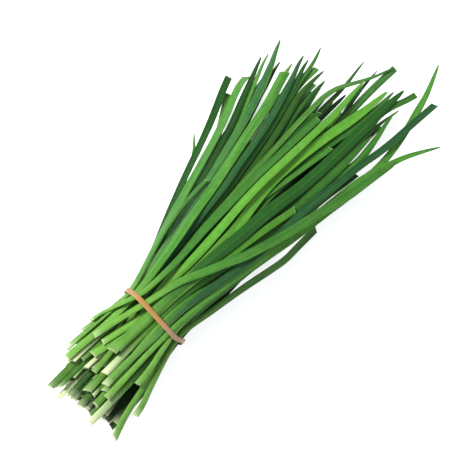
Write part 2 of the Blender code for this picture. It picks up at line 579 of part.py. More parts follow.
def section_points(bunch):
    """The outline points of the leaves and the core across the tie's width."""
    turns = np.linspace(0, 2 * math.pi, BAND_STEPS)
    points = [(CORE_CENTRE[1] + CORE_HALF[1] * math.cos(turn),
               CORE_CENTRE[2] + (CORE_HALF[2] if turn < math.pi else CORE_DEPTH) * math.sin(turn))
              for turn in turns]
    points = [(y, max(z, CORE_FLOOR)) for y, z in points]
    across_tie = np.arange(BAND_SPAN[0], BAND_SPAN[1] + 0.1, 1.0)
    for leaf in range(len(bunch.leaves)):
        corners = leaf_corners(bunch, leaf, node_skip(bunch, leaf))
        for here, there in zip(corners[:-1], corners[1:]):
            for start, end in [(here[c], there[(c + side) % 4]) for c in range(4) for side in (-1, 0, 1)]:
                points += [start[1:] + (end - start)[1:] * (x - start[0]) / (end - start)[0]
                           for x in across_tie if start[0] <= x <= end[0]]
    return np.array(points)


def band_ring(points, turns):
    """The middle line of the band's strand: each of its straight runs just clears the points inside it."""
    clearance = BAND_GAP + BAND_THICKNESS / 2
    ways = np.stack([np.cos(turns), np.sin(turns)], 1)
    reach = (points @ ways.T).max(axis=0) + clearance
    after, beyond = np.roll(ways, -1, axis=0), np.roll(reach, -1)
    y = reach * after[:, 1] - beyond * ways[:, 1]
    z = beyond * ways[:, 0] - reach * after[:, 0]
    return np.stack([y, z], 1) / math.sin(2 * math.pi / len(turns))


def make_band(bunch, material, collection):
    """The rubber band: a flat strand stretched round the leaves, closed into a ring."""
    turns = np.linspace(0, 2 * math.pi, BAND_STEPS, endpoint=False)
    ring = band_ring(section_points(bunch), turns)
    shape = bmesh.new()
    loops = []
    for k, turn in enumerate(turns + math.pi / BAND_STEPS):
        along = ring[(k + 1) % BAND_STEPS] - ring[k - 1]
        out = np.array([along[1], -along[0]]) / np.linalg.norm(along)
        waves = (1, math.cos(turn), math.sin(turn), math.cos(2 * turn), math.sin(2 * turn))
        shift = np.dot(BAND_SWAY, waves)
        loop = []
        for wide, tall in BAND_SECTION:
            y, z = ring[k] + out * tall * BAND_THICKNESS / 2
            loop.append(shape.verts.new((
                (shift + wide * BAND_WIDTH / 2) * MM, y * MM, max(z, 0.0) * MM)))
        loops.append(loop)
    for k in range(BAND_STEPS):
        here, there = loops[k], loops[(k + 1) % BAND_STEPS]
        for c in range(len(here)):
            d = (c + 1) % len(here)
            shape.faces.new((here[c], here[d], there[d], there[c]))
    bmesh.ops.triangulate(shape, faces=shape.faces[:])
    bmesh.ops.recalc_face_normals(shape, faces=shape.faces[:])
    mesh = bpy.data.meshes.new("rubber_band")
    shape.to_mesh(mesh)
    shape.free()
    mesh.materials.append(material)
    obj = bpy.data.objects.new("rubber_band", mesh)
    collection.objects.link(obj)


def main():
    for obj in list(bpy.data.objects):
        bpy.data.objects.remove(obj)
    collection = bpy.data.collections.new("garlic chives")
    bpy.context.scene.collection.children.link(collection)
    greens = {tone: make_material("leaf_" + tone, colour, LEAF_ROUGHNESS)
              for tone, colour in GREENS.items()}
    rubber = make_material("band_rubber", RUBBER, RUBBER_ROUGHNESS)
    bunch = lay_leaves()
    for k, leaf in enumerate(TOP_LEAVES):
        make_leaf(leaf.name, bunch, k, greens[leaf.tone], collection)
    make_packed_leaves(bunch, len(TOP_LEAVES), greens["mid"], collection)
    make_band(bunch, rubber, collection)


if __name__ == "__main__":
    main()
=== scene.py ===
"""The finish of a bunch of garlic chives tied with a rubber band: a Blender add-on run as a script.

The bunch lies along X, cut ends towards -X and tips towards +X. Z is up, and the origin is on the
surface under the band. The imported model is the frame. Each leaf is modelled again here as a thin curved
blade, in the place that the same layout rule gives it. The band is a strand stretched over those blades.
"""

import math
import random
from collections import namedtuple
from functools import lru_cache

import bpy
import mathutils
import numpy as np
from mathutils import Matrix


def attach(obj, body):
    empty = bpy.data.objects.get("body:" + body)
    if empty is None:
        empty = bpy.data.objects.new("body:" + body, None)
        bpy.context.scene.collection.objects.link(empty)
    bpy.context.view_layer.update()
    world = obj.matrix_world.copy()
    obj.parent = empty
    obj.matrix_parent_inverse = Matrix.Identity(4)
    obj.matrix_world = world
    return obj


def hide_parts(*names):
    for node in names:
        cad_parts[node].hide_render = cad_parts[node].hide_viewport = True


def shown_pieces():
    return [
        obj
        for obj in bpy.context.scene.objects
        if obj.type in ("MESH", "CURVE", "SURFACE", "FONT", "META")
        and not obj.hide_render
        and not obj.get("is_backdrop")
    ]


bl_info = {
    "name": "Garlic Chives Bunch",
    "version": (1, 0, 0),
    "blender": (4, 5, 0),
    "location": "View3D > Sidebar > Chives",
    "description": "Dresses the packed bunch with curved blades, a rubber strand and a studio stage",
    "category": "Object",
}

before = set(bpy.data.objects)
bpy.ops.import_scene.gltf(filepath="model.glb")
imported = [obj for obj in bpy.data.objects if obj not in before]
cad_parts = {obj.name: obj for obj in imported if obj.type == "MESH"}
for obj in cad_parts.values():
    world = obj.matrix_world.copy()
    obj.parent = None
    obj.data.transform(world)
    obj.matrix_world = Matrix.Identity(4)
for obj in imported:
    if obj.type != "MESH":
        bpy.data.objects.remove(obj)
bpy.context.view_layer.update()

MM = 0.001
SEED = 7

# Half widths and heights of the bunch along its length, in millimetres. Its upper outline is a dome over
# the outer edge, and its lower outline is a bowl that rises to the same edge.
ALONG = (-85, -50, -20, 0, 30, 60, 120, 180, 240, 290)
LEFT = (36, 32, 26, 23.5, 33, 45, 66, 84, 92, 92)
RIGHT = (42, 38, 29, 24.5, 30, 38, 45, 55, 64, 68)
TOP = (27, 28, 27, 27.5, 29, 31, 30, 24, 16, 10)
EDGE = (4, 6, 12, 17, 12, 8, 5, 4, 3, 3)
WIDEST_SHARE = 0.985

# The tie.
BAND_WIDTH = 3.7
BAND_THICKNESS = 1.2
BAND_GAP = 0.35
BAND_SPAN = (-9.0, 5.0)
# Where the strand lies along the bunch: its mean, then the cosine and sine parts once and twice round.
BAND_SWAY = (-0.875, 1.0, -2.25, 1.375, 1.8)

# Leaves.
GAP = 0.5
SIDE_GAP = 0.55
LEAF_FLOOR = 0.02
STATION_SPAN = (-91, 300)
STATION_STEP = 13.0
STATION_MARGIN = 0.35 * STATION_STEP
FILLER_SKIP = 2
ROUTE_STEPS = 161
THICKNESS_ALONG = (-60, 0, 40, 120, 280)
THICKNESS = (1.6, 1.3, 1.05, 0.9, 0.8)
STALK_ALONG = (-70, -25, 10, 60)
STALK_SHARE = (0.8, 0.5, 0.5, 1)
TIP_LENGTH = 55.0
TIP_SHARE = 0.16
TIP_POWER = 0.75
STEEPEST = math.radians(56)
FLATTEST = math.radians(24)
STEEP_ALONG = (12, 70)
TWIST = math.radians(16)
TWIST_ALONG = (20, 80)
SLANT = 0.5

# How the leaves settle among each other: the largest overlap that counts, the largest push across and
# up, when they move sideways instead, and how stiff they are.
ROUNDS = 400
PUSH = 0.25
LARGEST_OVERLAP = 2
LARGEST_PUSH = (2, 3)
SIDEWAYS_SHARE = 0.9
SIDEWAYS_LIFT = 0.15
STIFFNESS = 0.14
RECALL = 0.998

# How they narrow where only their edges meet.
SQUEEZES = 12
SQUEEZE_STEP = 0.3
BRUSHING_SHARE = 0.5
NARROWEST = 0.55
WIDEST_SQUEEZE = 2.2

# Rings of leaves inside the tie.
RING_PITCH = 2.35
RING_SPACING = 5.5
NECK_HALF_WIDTH = 22.2
NECK_HALF_HEIGHT = 15.2
NECK_MARGIN = (1.4, 1.8)
RING_SIDES = 0.93
INNER_RING = 2
INNER_CEILING = 3.0
OUTER_CEILING = -2.5
TOP_PLAY = 2.0
SECOND_PLAY = 2.5
LOWER_PLAY = 9.0

# The core that the inner leaves grow through.
CORE_CENTRE = (-2.5, 0.0, 16.2)
CORE_HALF = (15.0, 23.0, 11.2)

# The finish that each green of leaf belongs to.
SLOTS = {"mid": "leaf_mid", "light": "leaf_light", "bright": "leaf_bright", "blue": "leaf_blue",
         "dark": "leaf_mid", "olive": "leaf_mid"}

Leaf = namedtuple("Leaf", "name depth width tip tone route")

# Each leaf that shows: how high it lies in the bunch from 0 to 1, its width, the form of its tip, its
# green, and its route as points along and across the bunch. All lengths are in millimetres.
TOP_LEAVES = (
    Leaf("top_leaf_01", 0.86, 5.2, "cut", "mid", (
        (-46, 25.5), (-20, 22.8), (0, 21.3), (10, 23.5), (25, 28.5), (50, 38), (75, 47.5), (100, 57.1),
        (125, 65.7), (150, 75.3), (170, 83.8), (183, 89.2))),
    Leaf("top_leaf_02", 0.90, 6.6, "cut", "light", (
        (-50, 26), (-25, 22.5), (0, 20.5), (10, 22.5), (20, 25.5), (30, 28.5), (40, 31.7), (60, 37.6),
        (90, 46), (125, 56.2), (150, 64.8), (170, 73), (189, 79))),
    Leaf("top_leaf_03", 0.93, 6.2, "point", "blue", (
        (-38, 26), (-20, 22), (0, 19), (10, 19.5), (20, 20.8), (30, 22.8), (50, 26.8), (75, 32.3),
        (100, 38.5), (125, 44.8), (150, 51.2), (175, 58.7), (200, 67.8), (218, 75.7), (232, 82.6))),
    Leaf("top_leaf_04", 0.94, 2.8, "cut", "light", (
        (-56, 24), (-25, 20), (0, 18), (25, 25), (45, 31), (60, 34.3), (75, 36.8), (98, 38.7))),
    Leaf("top_leaf_05", 0.95, 7.2, "cut", "mid", (
        (-62, 19.2), (-40, 17.3), (-20, 16), (0, 15.2), (10, 15.7), (25, 18), (50, 22), (75, 27.3),
        (100, 32), (125, 37.4), (150, 43), (175, 48.3), (190, 53), (208, 58.7))),
    Leaf("top_leaf_06", 0.935, 5.8, "point", "blue", (
        (-61, 15), (-45, 14.7), (-25, 13), (0, 15), (25, 17), (50, 19.7), (75, 22.7), (100, 25.4),
        (125, 30.1), (150, 34.9), (175, 41.3), (200, 48.7), (215, 53.7), (229, 59.5))),
    Leaf("top_leaf_07", 0.965, 5.4, "cut", "light", (
        (-31, 28), (-20, 22), (-12, 17.4), (-3, 13), (10, 10.9), (30, 10.6), (50, 11.9), (100, 13.2),
        (150, 13.8), (189, 14.1))),
    Leaf("top_leaf_08", 1.0, 6.2, "point", "mid", (
        (-40, 15), (-20, 10), (-5, 5.7), (10, 1.8), (25, -2.6), (40, -9.8), (50, -14), (60, -18.5),
        (70, -21.6), (85, -25.5), (100, -29), (125, -33.5), (150, -38), (175, -42), (200, -46.5))),
    Leaf("top_leaf_09", 0.97, 6.6, "point", "bright", (
        (-39, 9), (-25, 5.5), (-10, 2.5), (0, 3), (15, 5.5), (30, 4.6), (50, 4.3), (75, 5.5),
        (100, 7.1), (150, 7.9), (200, 8.5), (220, 10.4), (238, 12))),
    Leaf("top_leaf_10", 0.95, 8.2, "point", "mid", (
        (-41, -1), (-20, -2.5), (0, -3), (25, -4.5), (50, -6.8), (75, -9.4), (100, -10.7), (125, -12.9),
        (150, -14.1), (175, -14.4), (200, -13.8), (225, -13.2), (252, -13.5))),
    Leaf("top_leaf_11", 0.93, 5.8, "point", "light", (
        (-54, -6), (-30, -6.3), (0, -7.3), (25, -9.5), (50, -14.5), (75, -18), (100, -19.5),
        (125, -20.5), (150, -21.5), (175, -22), (204, -21.5))),
    Leaf("top_leaf_12", 0.955, 5.4, "cut", "blue", (
        (-60, -12.3), (-30, -13.2), (-10, -14.5), (0, -14.5), (25, -17), (50, -21.5), (75, -24.5),
        (100, -26), (125, -26.8), (150, -28.5), (175, -30.5), (200, -34), (225, -35.5), (257, -37))),
    Leaf("top_leaf_13", 0.92, 5.2, "point", "mid", (
        (-62, -14.5), (-30, -12), (0, -11), (25, -13.5), (50, -18.5), (75, -21.5), (100, -23),
        (150, -24.5), (170, -26), (183, -27), (200, -25), (229, -20))),
    Leaf("top_leaf_14", 0.94, 4.6, "point", "light", (
        (-65, -17.5), (-40, -17), (0, -17.5), (25, -19.5), (50, -23.5), (75, -27.2), (100, -30),
        (125, -33.8), (145, -34.5), (160, -35.8), (175, -38.2), (190, -42.3), (200, -44.5), (215, -50),
        (235, -59.7))),
    Leaf("top_leaf_15", 0.93, 5.0, "point", "light", (
        (-44, -25.2), (-25, -23), (0, -19), (25, -19.8), (50, -23.3), (75, -27.4), (100, -31.7),
        (125, -35), (150, -37.7), (175, -39.3), (200, -39), (225, -35.3), (240, -31.8), (255, -28.3),
        (270, -23.8), (289, -16))),
    Leaf("top_leaf_16", 0.945, 4.8, "cut", "bright", (
        (-36, -3.5), (-20, -4.5), (0, -5.5), (25, -7.3), (50, -11.5), (60, -13.3), (75, -15.3),
        (100, -19), (118, -22.6))),
)

SECOND_LEAVES = (
    Leaf("second_leaf_01", 0.885, 5.2, "point", "mid", (
        (-55, 12.7), (-30, 10.3), (0, 14.2), (50, 17.5), (75, 19.5), (100, 22.2), (125, 26.5),
        (150, 31.2), (175, 37.3), (200, 45), (215, 49.8), (229, 55))),
    Leaf("second_leaf_02", 0.78, 4.8, "cut", "olive", (
        (-58, -36.5), (-45, -32.8), (-25, -27), (0, -22), (25, -25.2), (50, -29.3), (70, -33),
        (90, -36.3), (105, -36.6), (122, -37))),
    Leaf("second_leaf_03", 0.86, 5.0, "point", "dark", (
        (-82, 13), (-50, 13.5), (-25, 13.5), (0, 14.5), (30, 21), (60, 31), (100, 43.5), (125, 50.8),
        (150, 58.7), (175, 68.5), (195, 76.3), (212, 84.3))),
    Leaf("second_leaf_04", 0.80, 4.6, "point", "mid", (
        (-67, 8.7), (-30, 10), (0, 12.5), (50, 26.5), (100, 41), (150, 56), (175, 65.3), (200, 74.8),
        (218, 82))),
    Leaf("second_leaf_05", 0.80, 4.8, "point", "light", (
        (-78, 11), (-60, 11.3), (0, 10.5), (50, 14.7), (100, 21.3), (150, 31), (190, 41.3), (207, 46),
        (226, 49), (236, 52), (245, 55.8))),
    Leaf("second_leaf_06", 0.745, 5.0, "cut", "light", (
        (-82, 7.2), (-40, 7), (0, 6), (60, 13), (120, 25), (180, 39), (205, 45), (228, 46))),
    Leaf("second_leaf_07", 0.85, 4.6, "point", "olive", (
        (-55, 3), (-40, 2.5), (0, 7.5), (60, 14), (110, 19.7), (150, 27), (175, 32.3), (195, 37.8),
        (212, 39.8), (228, 39.5))),
    Leaf("second_leaf_08", 0.72, 4.0, "point", "mid", (
        (-77, 3), (-60, 4), (0, 2), (60, 10), (110, 17.5), (150, 23.5), (175, 29), (200, 32.7),
        (217, 34.7))),
    Leaf("second_leaf_09", 0.89, 4.6, "point", "dark", (
        (-57, 0), (-30, 3), (0, 11.5), (50, 13.8), (100, 17.2), (150, 20.7), (175, 22.7), (200, 24),
        (216, 23.8), (225, 20.8), (235, 15.8), (246, 10.6), (264, 4))),
    Leaf("second_leaf_10", 0.86, 4.2, "cut", "mid", (
        (-50, -1), (-25, 1), (0, 7.5), (50, 11.5), (100, 14.5), (150, 17.5), (195, 18))),
    Leaf("second_leaf_11", 0.66, 3.4, "point", "dark", (
        (-77, -1.5), (-30, 0), (0, -1), (60, 7), (120, 14.5), (180, 19.5), (228, 21), (257, 25))),
    Leaf("second_leaf_12", 0.915, 6.8, "point", "bright", (
        (-49, 9), (-35, 5), (-20, 1.5), (0, 0.5), (25, 0.5), (60, -2.5), (80, -2), (100, 1), (125, 3.3),
        (150, 2.7), (175, 0.6), (200, -2.5), (220, -4.6), (243, -5.6))),
    Leaf("second_leaf_13", 0.86, 5.6, "point", "mid", (
        (-69, -5), (-30, -5), (0, -4.5), (50, -6), (100, -2.5), (150, -1.5), (175, -4), (200, -7.5),
        (225, -8.8), (247, -8.5))),
    Leaf("second_leaf_14", 0.875, 3.6, "cut", "light", (
        (-58, 6), (-25, 3), (0, 4), (50, 2), (90, 2), (125, -1.5), (150, -4.7), (175, -8))),
    Leaf("second_leaf_15", 0.70, 5.2, "cut", "blue", (
        (-78, -8), (-30, -5), (0, -3), (60, 2), (120, -1), (180, 0.8), (205, 2.6), (240, 4.6),
        (266, 4.4))),
    Leaf("second_leaf_16", 0.64, 3.4, "point", "dark", (
        (-75, -11), (-30, -8), (0, -7), (60, -3), (120, -3), (200, 4.2), (225, 9.5), (242, 11.5),
        (256, 12.8))),
    Leaf("second_leaf_17", 0.83, 3.4, "point", "olive", (
        (-68, -9), (-30, -9), (0, -9), (60, -15), (120, -18.5), (180, -17), (217, -18), (237, -21))),
    Leaf("second_leaf_18", 0.87, 5.0, "cut", "olive", (
        (-72, -15), (-30, -13), (0, -12), (50, -13), (100, -14), (150, -16), (200, -17), (225, -14.5),
        (237, -16.8), (256, -23))),
    Leaf("second_leaf_19", 0.80, 4.0, "cut", "dark", (
        (-79, -17), (-30, -16), (0, -15), (50, -20.5), (100, -25.5), (140, -28), (155, -29.8),
        (173, -32.5))),
    Leaf("second_leaf_20", 0.87, 4.6, "point", "light", (
        (-83, -20.4), (-60, -20.6), (-30, -20.3), (0, -18), (50, -23.5), (100, -29.3), (150, -34.2),
        (190, -38.3))),
    Leaf("second_leaf_21", 0.66, 4.4, "point", "mid", (
        (-78, -36), (-65, -32), (-40, -27.3), (0, -19.5), (25, -20), (50, -22.3), (100, -30),
        (150, -37), (192, -43.5))),
    Leaf("second_leaf_22", 0.68, 4.0, "point", "light", (
        (-62, 18), (-30, 18), (0, 17.5), (50, 36.5), (100, 57.5), (120, 67.5), (131, 77.5))),
    Leaf("second_leaf_23", 0.62, 5.0, "cut", "olive", (
        (-55, 17), (-30, 17.5), (0, 18), (50, 34), (100, 49.5), (140, 63), (158, 73), (173, 83.5))),
    Leaf("second_leaf_24", 0.78, 4.6, "point", "dark", (
        (-70, 9), (-30, 9), (0, 12), (60, 28), (120, 42.5), (160, 53), (180, 59.5), (200, 65),
        (216, 70))),
    Leaf("second_leaf_25", 0.76, 5.0, "point", "light", (
        (-60, -4), (-30, 0), (0, 6), (60, 20), (120, 34), (160, 46), (190, 54), (207, 58.5),
        (220, 61.5))),
)

LOWER_GREENS = ("mid", "dark", "blue", "mid", "light", "dark")
LOWER_TIPS = ("point", "point", "cut")
LOWER_WIDTHS = (4.8, 6.0)
# Where these leaves go: the half widths that they fill along the bunch, then how far their tips and cut
# ends reach from the right edge to the left one.
FILL_LEFT = (20, 27, 23, 21.5, 29, 39.5, 59, 76, 84, 86)
FILL_RIGHT = (31, 34, 27, 22.5, 23, 24, 25, 26, 26, 26)
SHARES = (-1.0, -0.5, 0.0, 0.5, 1.0)
TIP_REACH = (205, 226, 234, 226, 204)
TIP_SPREAD = 30
CUT_REACH = (-72, -78, -76, -74, -58)
CUT_SPREAD = 20
# How they stray from their place in the tie, as shares of the half width.
TIP_HOLD = 0.72
TIP_STRAY = 0.42
MIDDLE_HOLD = 0.35
MIDDLE_STRAY = 0.06
CUT_STRAY = 0.22
CUT_BY_DEPTH = 0.65
SHARE_LIMITS = (-0.93, 0.9)
ROUTE_STOPS = (0.2, 0.55)


def table(x, along, values):
    """The value at x from a row of values at places along."""
    return np.interp(x, along, values)


def side_reach(x, share):
    """The place across the bunch of a share from -1, the right edge, to 1, the left edge."""
    return share * table(x, ALONG, FILL_LEFT if share > 0 else FILL_RIGHT)


def outline_height(x, y, depth):
    """The height in the bunch at depth 0 to 1, between its lower and upper outline."""
    half = np.where(y > 0, table(x, ALONG, LEFT), table(x, ALONG, RIGHT))
    edge = table(x, ALONG, EDGE)
    crown = np.sqrt(1 - np.clip(np.abs(y) / half, 0, WIDEST_SHARE) ** 2)
    low = edge * (1 - crown)
    high = edge + (table(x, ALONG, TOP) - edge) * crown
    return low + depth * (high - low)


def flow(points, x):
    """A smooth curve through the route's points, with its slope, at each x."""
    px, py = (np.array(v, float) for v in zip(*points))
    chord = np.diff(py) / np.diff(px)
    slope = np.concatenate([chord[:1], (chord[1:] + chord[:-1]) / 2, chord[-1:]])
    k = np.clip(np.searchsorted(px, x, side="right") - 1, 0, len(px) - 2)
    length = px[k + 1] - px[k]
    t = np.clip((x - px[k]) / length, 0, 1)
    rise = (py[k] * (1 + 2 * t) * (1 - t) ** 2 + py[k + 1] * t ** 2 * (3 - 2 * t)
            + length * (slope[k] * t * (1 - t) ** 2 - slope[k + 1] * t ** 2 * (1 - t)))
    return rise, np.gradient(rise, x)


def neck_rings():
    """The places of the leaves inside the tie, ring by ring: ring, across, height."""
    slots = []
    ring = 0
    while NECK_HALF_HEIGHT - ring * RING_PITCH > 1:
        wide = NECK_HALF_WIDTH - ring * RING_PITCH
        tall = NECK_HALF_HEIGHT - ring * RING_PITCH
        around = math.pi * (3 * (wide + tall) - math.sqrt((3 * wide + tall) * (wide + 3 * tall)))
        count = int(around / RING_SPACING)
        for k in range(count):
            turn = 2 * math.pi * (k + 0.5 * (ring % 2)) / count
            if ring and abs(math.cos(turn)) > RING_SIDES:
                continue
            slots.append((ring, wide * math.cos(turn), tall * math.sin(turn)))
        ring += 1
    return slots


def filler_route(rng, across, depth):
    """A leaf that the photo doesn't single out: from its place in the tie, outwards both ways."""
    share = across / (NECK_HALF_WIDTH + NECK_MARGIN[0])
    tip_share = float(np.clip(share * TIP_HOLD + rng.uniform(-TIP_STRAY, TIP_STRAY), *SHARE_LIMITS))
    middle_share = (share * MIDDLE_HOLD + tip_share * (1 - MIDDLE_HOLD)
                    + rng.uniform(-MIDDLE_STRAY, MIDDLE_STRAY))
    cut_share = float(np.clip(share + rng.uniform(-CUT_STRAY, CUT_STRAY), *SHARE_LIMITS))
    tip = table(tip_share, SHARES, TIP_REACH) - rng.uniform(0, TIP_SPREAD)
    cut = table(cut_share, SHARES, CUT_REACH)
    cut += CUT_SPREAD * (CUT_BY_DEPTH * depth + rng.uniform(0, 1 - CUT_BY_DEPTH))
    stops = ((cut, cut_share), (cut / 2, (share + cut_share) / 2), (0, share),
             (tip * ROUTE_STOPS[0], share), (tip * ROUTE_STOPS[1], middle_share), (tip, tip_share))
    return tuple((float(x), float(side_reach(x, s))) for x, s in stops)


def lower_leaves(rng):
    """The leaves inside and on the underside, one for each place in the tie that is still free."""
    leaves = []
    for ring, across, height in neck_rings():
        if height > (INNER_CEILING if ring >= INNER_RING else OUTER_CEILING):
            continue
        share = across / (NECK_HALF_WIDTH + NECK_MARGIN[0])
        half_height = (NECK_HALF_HEIGHT + NECK_MARGIN[1]) * math.sqrt(1 - share ** 2)
        depth = 0.5 + height / (2 * half_height)
        leaves.append(Leaf("", depth, rng.uniform(*LOWER_WIDTHS), rng.choice(LOWER_TIPS),
                           rng.choice(LOWER_GREENS), filler_route(rng, across, depth)))
    return leaves


class Bunch:
    """All the leaves as arrays, with a row for each station along the bunch and a column for each leaf."""

    def __init__(self, leaves, side_play, rng):
        self.leaves = leaves
        self.x = np.arange(*STATION_SPAN, STATION_STEP)[:, None]
        self.start = np.array([leaf.route[0][0] for leaf in leaves], float)
        self.end = np.array([leaf.route[-1][0] for leaf in leaves], float)
        self.depth = np.array([leaf.depth for leaf in leaves])
        self.side_play = side_play
        within = np.clip(self.x, self.start, self.end)
        grids = [np.linspace(start, end, ROUTE_STEPS) for start, end in zip(self.start, self.end)]
        flows = [flow(leaf.route, grid) for leaf, grid in zip(leaves, grids)]
        columns = range(len(leaves))
        self.home_y = np.stack([np.interp(within[:, k], grids[k], flows[k][0]) for k in columns], 1)
        slope = np.stack([np.interp(within[:, k], grids[k], flows[k][1]) for k in columns], 1)
        self.active = (self.x > self.start - STATION_STEP) & (self.x < self.end + STATION_STEP)
        width = np.array([leaf.width for leaf in leaves])
        pointed = np.array([leaf.tip == "point" for leaf in leaves])
        taper = np.clip((self.end - self.x) / TIP_LENGTH, 0, 1) ** TIP_POWER
        taper = np.where(pointed, TIP_SHARE + (1 - TIP_SHARE) * taper, 1.0)
        self.half = width / 2 * np.interp(self.x, STALK_ALONG, STALK_SHARE) * taper * np.hypot(1, slope)
        self.full_half = self.half.copy()
        self.thick = np.repeat(table(self.x, THICKNESS_ALONG, THICKNESS), len(leaves), axis=1)
        self.home_z = outline_height(self.x, self.home_y, self.depth) - self.thick * (self.depth - 0.5)
        lean = (outline_height(self.x, self.home_y + 1, self.depth)
                - outline_height(self.x, self.home_y - 1, self.depth)) / 2
        steepest = np.interp(np.abs(self.x), STEEP_ALONG, (STEEPEST, FLATTEST))
        twist = np.array([rng.uniform(-TWIST, TWIST) for _ in leaves])
        self.roll = (np.clip(np.arctan(lean), -steepest, steepest)
                     + twist * np.interp(np.abs(self.x), TWIST_ALONG, (0, 1)))
        self.cuts = [(rng.uniform(-SLANT, SLANT), rng.uniform(-SLANT, SLANT) if leaf.tip == "cut" else 0)
                     for leaf in leaves]
        self.move_y = np.zeros_like(self.home_y)
        self.move_z = np.zeros_like(self.home_y)
        self.measure()
        tied = (self.x > BAND_SPAN[0] - STATION_STEP) & (self.x < BAND_SPAN[1] + STATION_STEP)
        self.floor = np.where(tied, BAND_THICKNESS + BAND_GAP, LEAF_FLOOR)

    def measure(self):
        """What each section takes up: to the side, in slope, above its middle plane and below it."""
        self.reach = self.half * np.cos(self.roll) + self.thick / 2 * np.abs(np.sin(self.roll))
        self.rise = np.tan(self.roll)
        self.lift = self.thick / 2 / np.cos(self.roll)
        self.hang = self.half * np.abs(np.sin(self.roll)) + self.thick / 2 * np.cos(self.roll)

    def places(self):
        """Where each leaf lies now, across and up."""
        return self.home_y + self.move_y, self.home_z + self.move_z

    def overlaps(self, above, both):
        """How far each leaf is short of its clearance from each other leaf, and what they share."""
        y, z = self.places()
        aside = y[:, :, None] - y[:, None, :]
        shared = self.reach[:, :, None] + self.reach[:, None, :] + SIDE_GAP - np.abs(aside)
        low = np.maximum((y - self.reach)[:, :, None], (y - self.reach)[:, None, :])
        high = np.minimum((y + self.reach)[:, :, None], (y + self.reach)[:, None, :])
        meet = shared > 0
        crossing = meet.copy()
        swap = np.sign(aside[1:]) != np.sign(aside[:-1])
        crossing[1:] |= swap
        crossing[:-1] |= swap
        middle = (low + high) / 2
        deficit = np.zeros_like(shared)
        for edge in (middle, np.where(meet, low, middle), np.where(meet, high, middle)):
            face = z[:, :, None] + self.rise[:, :, None] * (edge - y[:, :, None])
            other = z[:, None, :] + self.rise[:, None, :] * (edge - y[:, None, :])
            room = above * (face - other) - self.lift[:, :, None] - self.lift[:, None, :] - GAP
            deficit = np.maximum(deficit, -room)
        return np.where(both & crossing, deficit, 0), shared, aside

    def settle(self):
        """Pushes leaves that share a place apart, and keeps each one smooth along its length."""
        order = np.argsort(np.argsort(self.depth, kind="stable"), kind="stable")
        above = np.sign(order[:, None] - order[None, :])[None]
        both = self.active[:, :, None] & self.active[:, None, :] & (above != 0)
        for _ in range(ROUNDS):
            deficit, shared, aside = self.overlaps(above, both)
            sideways = shared < SIDEWAYS_SHARE * deficit
            across = np.where(sideways & (deficit > 0), np.clip(shared, 0, LARGEST_OVERLAP), 0)
            upwards = np.where(sideways, SIDEWAYS_LIFT, 1) * np.minimum(deficit, LARGEST_OVERLAP)
            pushes = (np.sign(aside) * across).sum(axis=2), (above * upwards).sum(axis=2)
            push_y, push_z = (np.clip(push, -most, most) for push, most in zip(pushes, LARGEST_PUSH))
            self.move_y += PUSH * push_y
            self.move_z += PUSH * push_z
            for move in (self.move_y, self.move_z):
                padded = np.concatenate([move[:1], move, move[-1:]])
                move += STIFFNESS * (0.5 * (padded[:-2] + padded[2:]) - move)
                move *= RECALL
            self.move_y = np.clip(self.move_y, -self.side_play, self.side_play)
            self.move_z = np.maximum(self.move_z, self.floor + self.hang - self.home_z)

    def straighten(self, leaf, skip):
        """Gives a leaf the straight runs that it has between sections further apart than the stations."""
        x, *values = self.nodes(leaf, skip)
        beyond = np.array([x[0] - STATION_STEP, *x, x[-1] + STATION_STEP])
        for rows, kept in zip((self.home_y, self.home_z, self.half, self.thick, self.roll), values):
            first = kept[0] + (kept[0] - kept[1]) * STATION_STEP / (x[1] - x[0])
            last = kept[-1] + (kept[-1] - kept[-2]) * STATION_STEP / (x[-1] - x[-2])
            rows[:, leaf] = np.interp(self.x[:, 0], beyond, [first, *kept, last])
        self.move_y[:, leaf] = 0
        self.move_z[:, leaf] = 0

    def squeeze(self, above, both, count):
        """Narrows the first count leaves and their neighbours where only their edges share a place."""
        narrowest = NARROWEST * self.half
        for _ in range(SQUEEZES):
            deficit, shared, _ = self.overlaps(above, both)
            brushing = (shared > 0) & (shared < WIDEST_SQUEEZE) & (deficit > BRUSHING_SHARE * shared)
            edges = np.where(brushing, shared, 0)
            edges[:, count:, count:] = 0
            self.half = np.maximum(narrowest, self.half - SQUEEZE_STEP * edges.max(axis=2))
            self.measure()

    def clear(self, count):
        """Lifts the first count leaves, lowest first, until each is clear of all that it lies over."""
        order = np.argsort(np.argsort(self.depth, kind="stable"), kind="stable")
        order[:count] += len(order)
        above = np.sign(order[:, None] - order[None, :])[None]
        both = self.active[:, :, None] & self.active[:, None, :] & (above != 0)
        self.squeeze(above, both, count)
        both = both & (above > 0)
        for leaf in sorted(range(count), key=lambda k: order[k]):
            deficit = self.overlaps(above, both)[0][:, leaf].max(axis=1)
            y, z = self.places()
            aside = self.reach[:, [leaf]] * np.linspace(-1, 1, 5)
            across = y[:, [leaf]] + aside
            under = z[:, [leaf]] + self.rise[:, [leaf]] * aside - self.lift[:, [leaf]] - GAP
            deficit = np.maximum(deficit, (core_top(self.x, across) - under).max(axis=1))
            spread = np.concatenate([deficit[:1], deficit[:1], deficit, deficit[-1:], deficit[-1:]])
            spread = np.stack([spread[k:k + len(deficit)] for k in range(5)]).max(axis=0)
            padded = np.concatenate([spread[:1], spread, spread[-1:]])
            self.move_z[:, leaf] += 0.25 * padded[:-2] + 0.5 * padded[1:-1] + 0.25 * padded[2:]

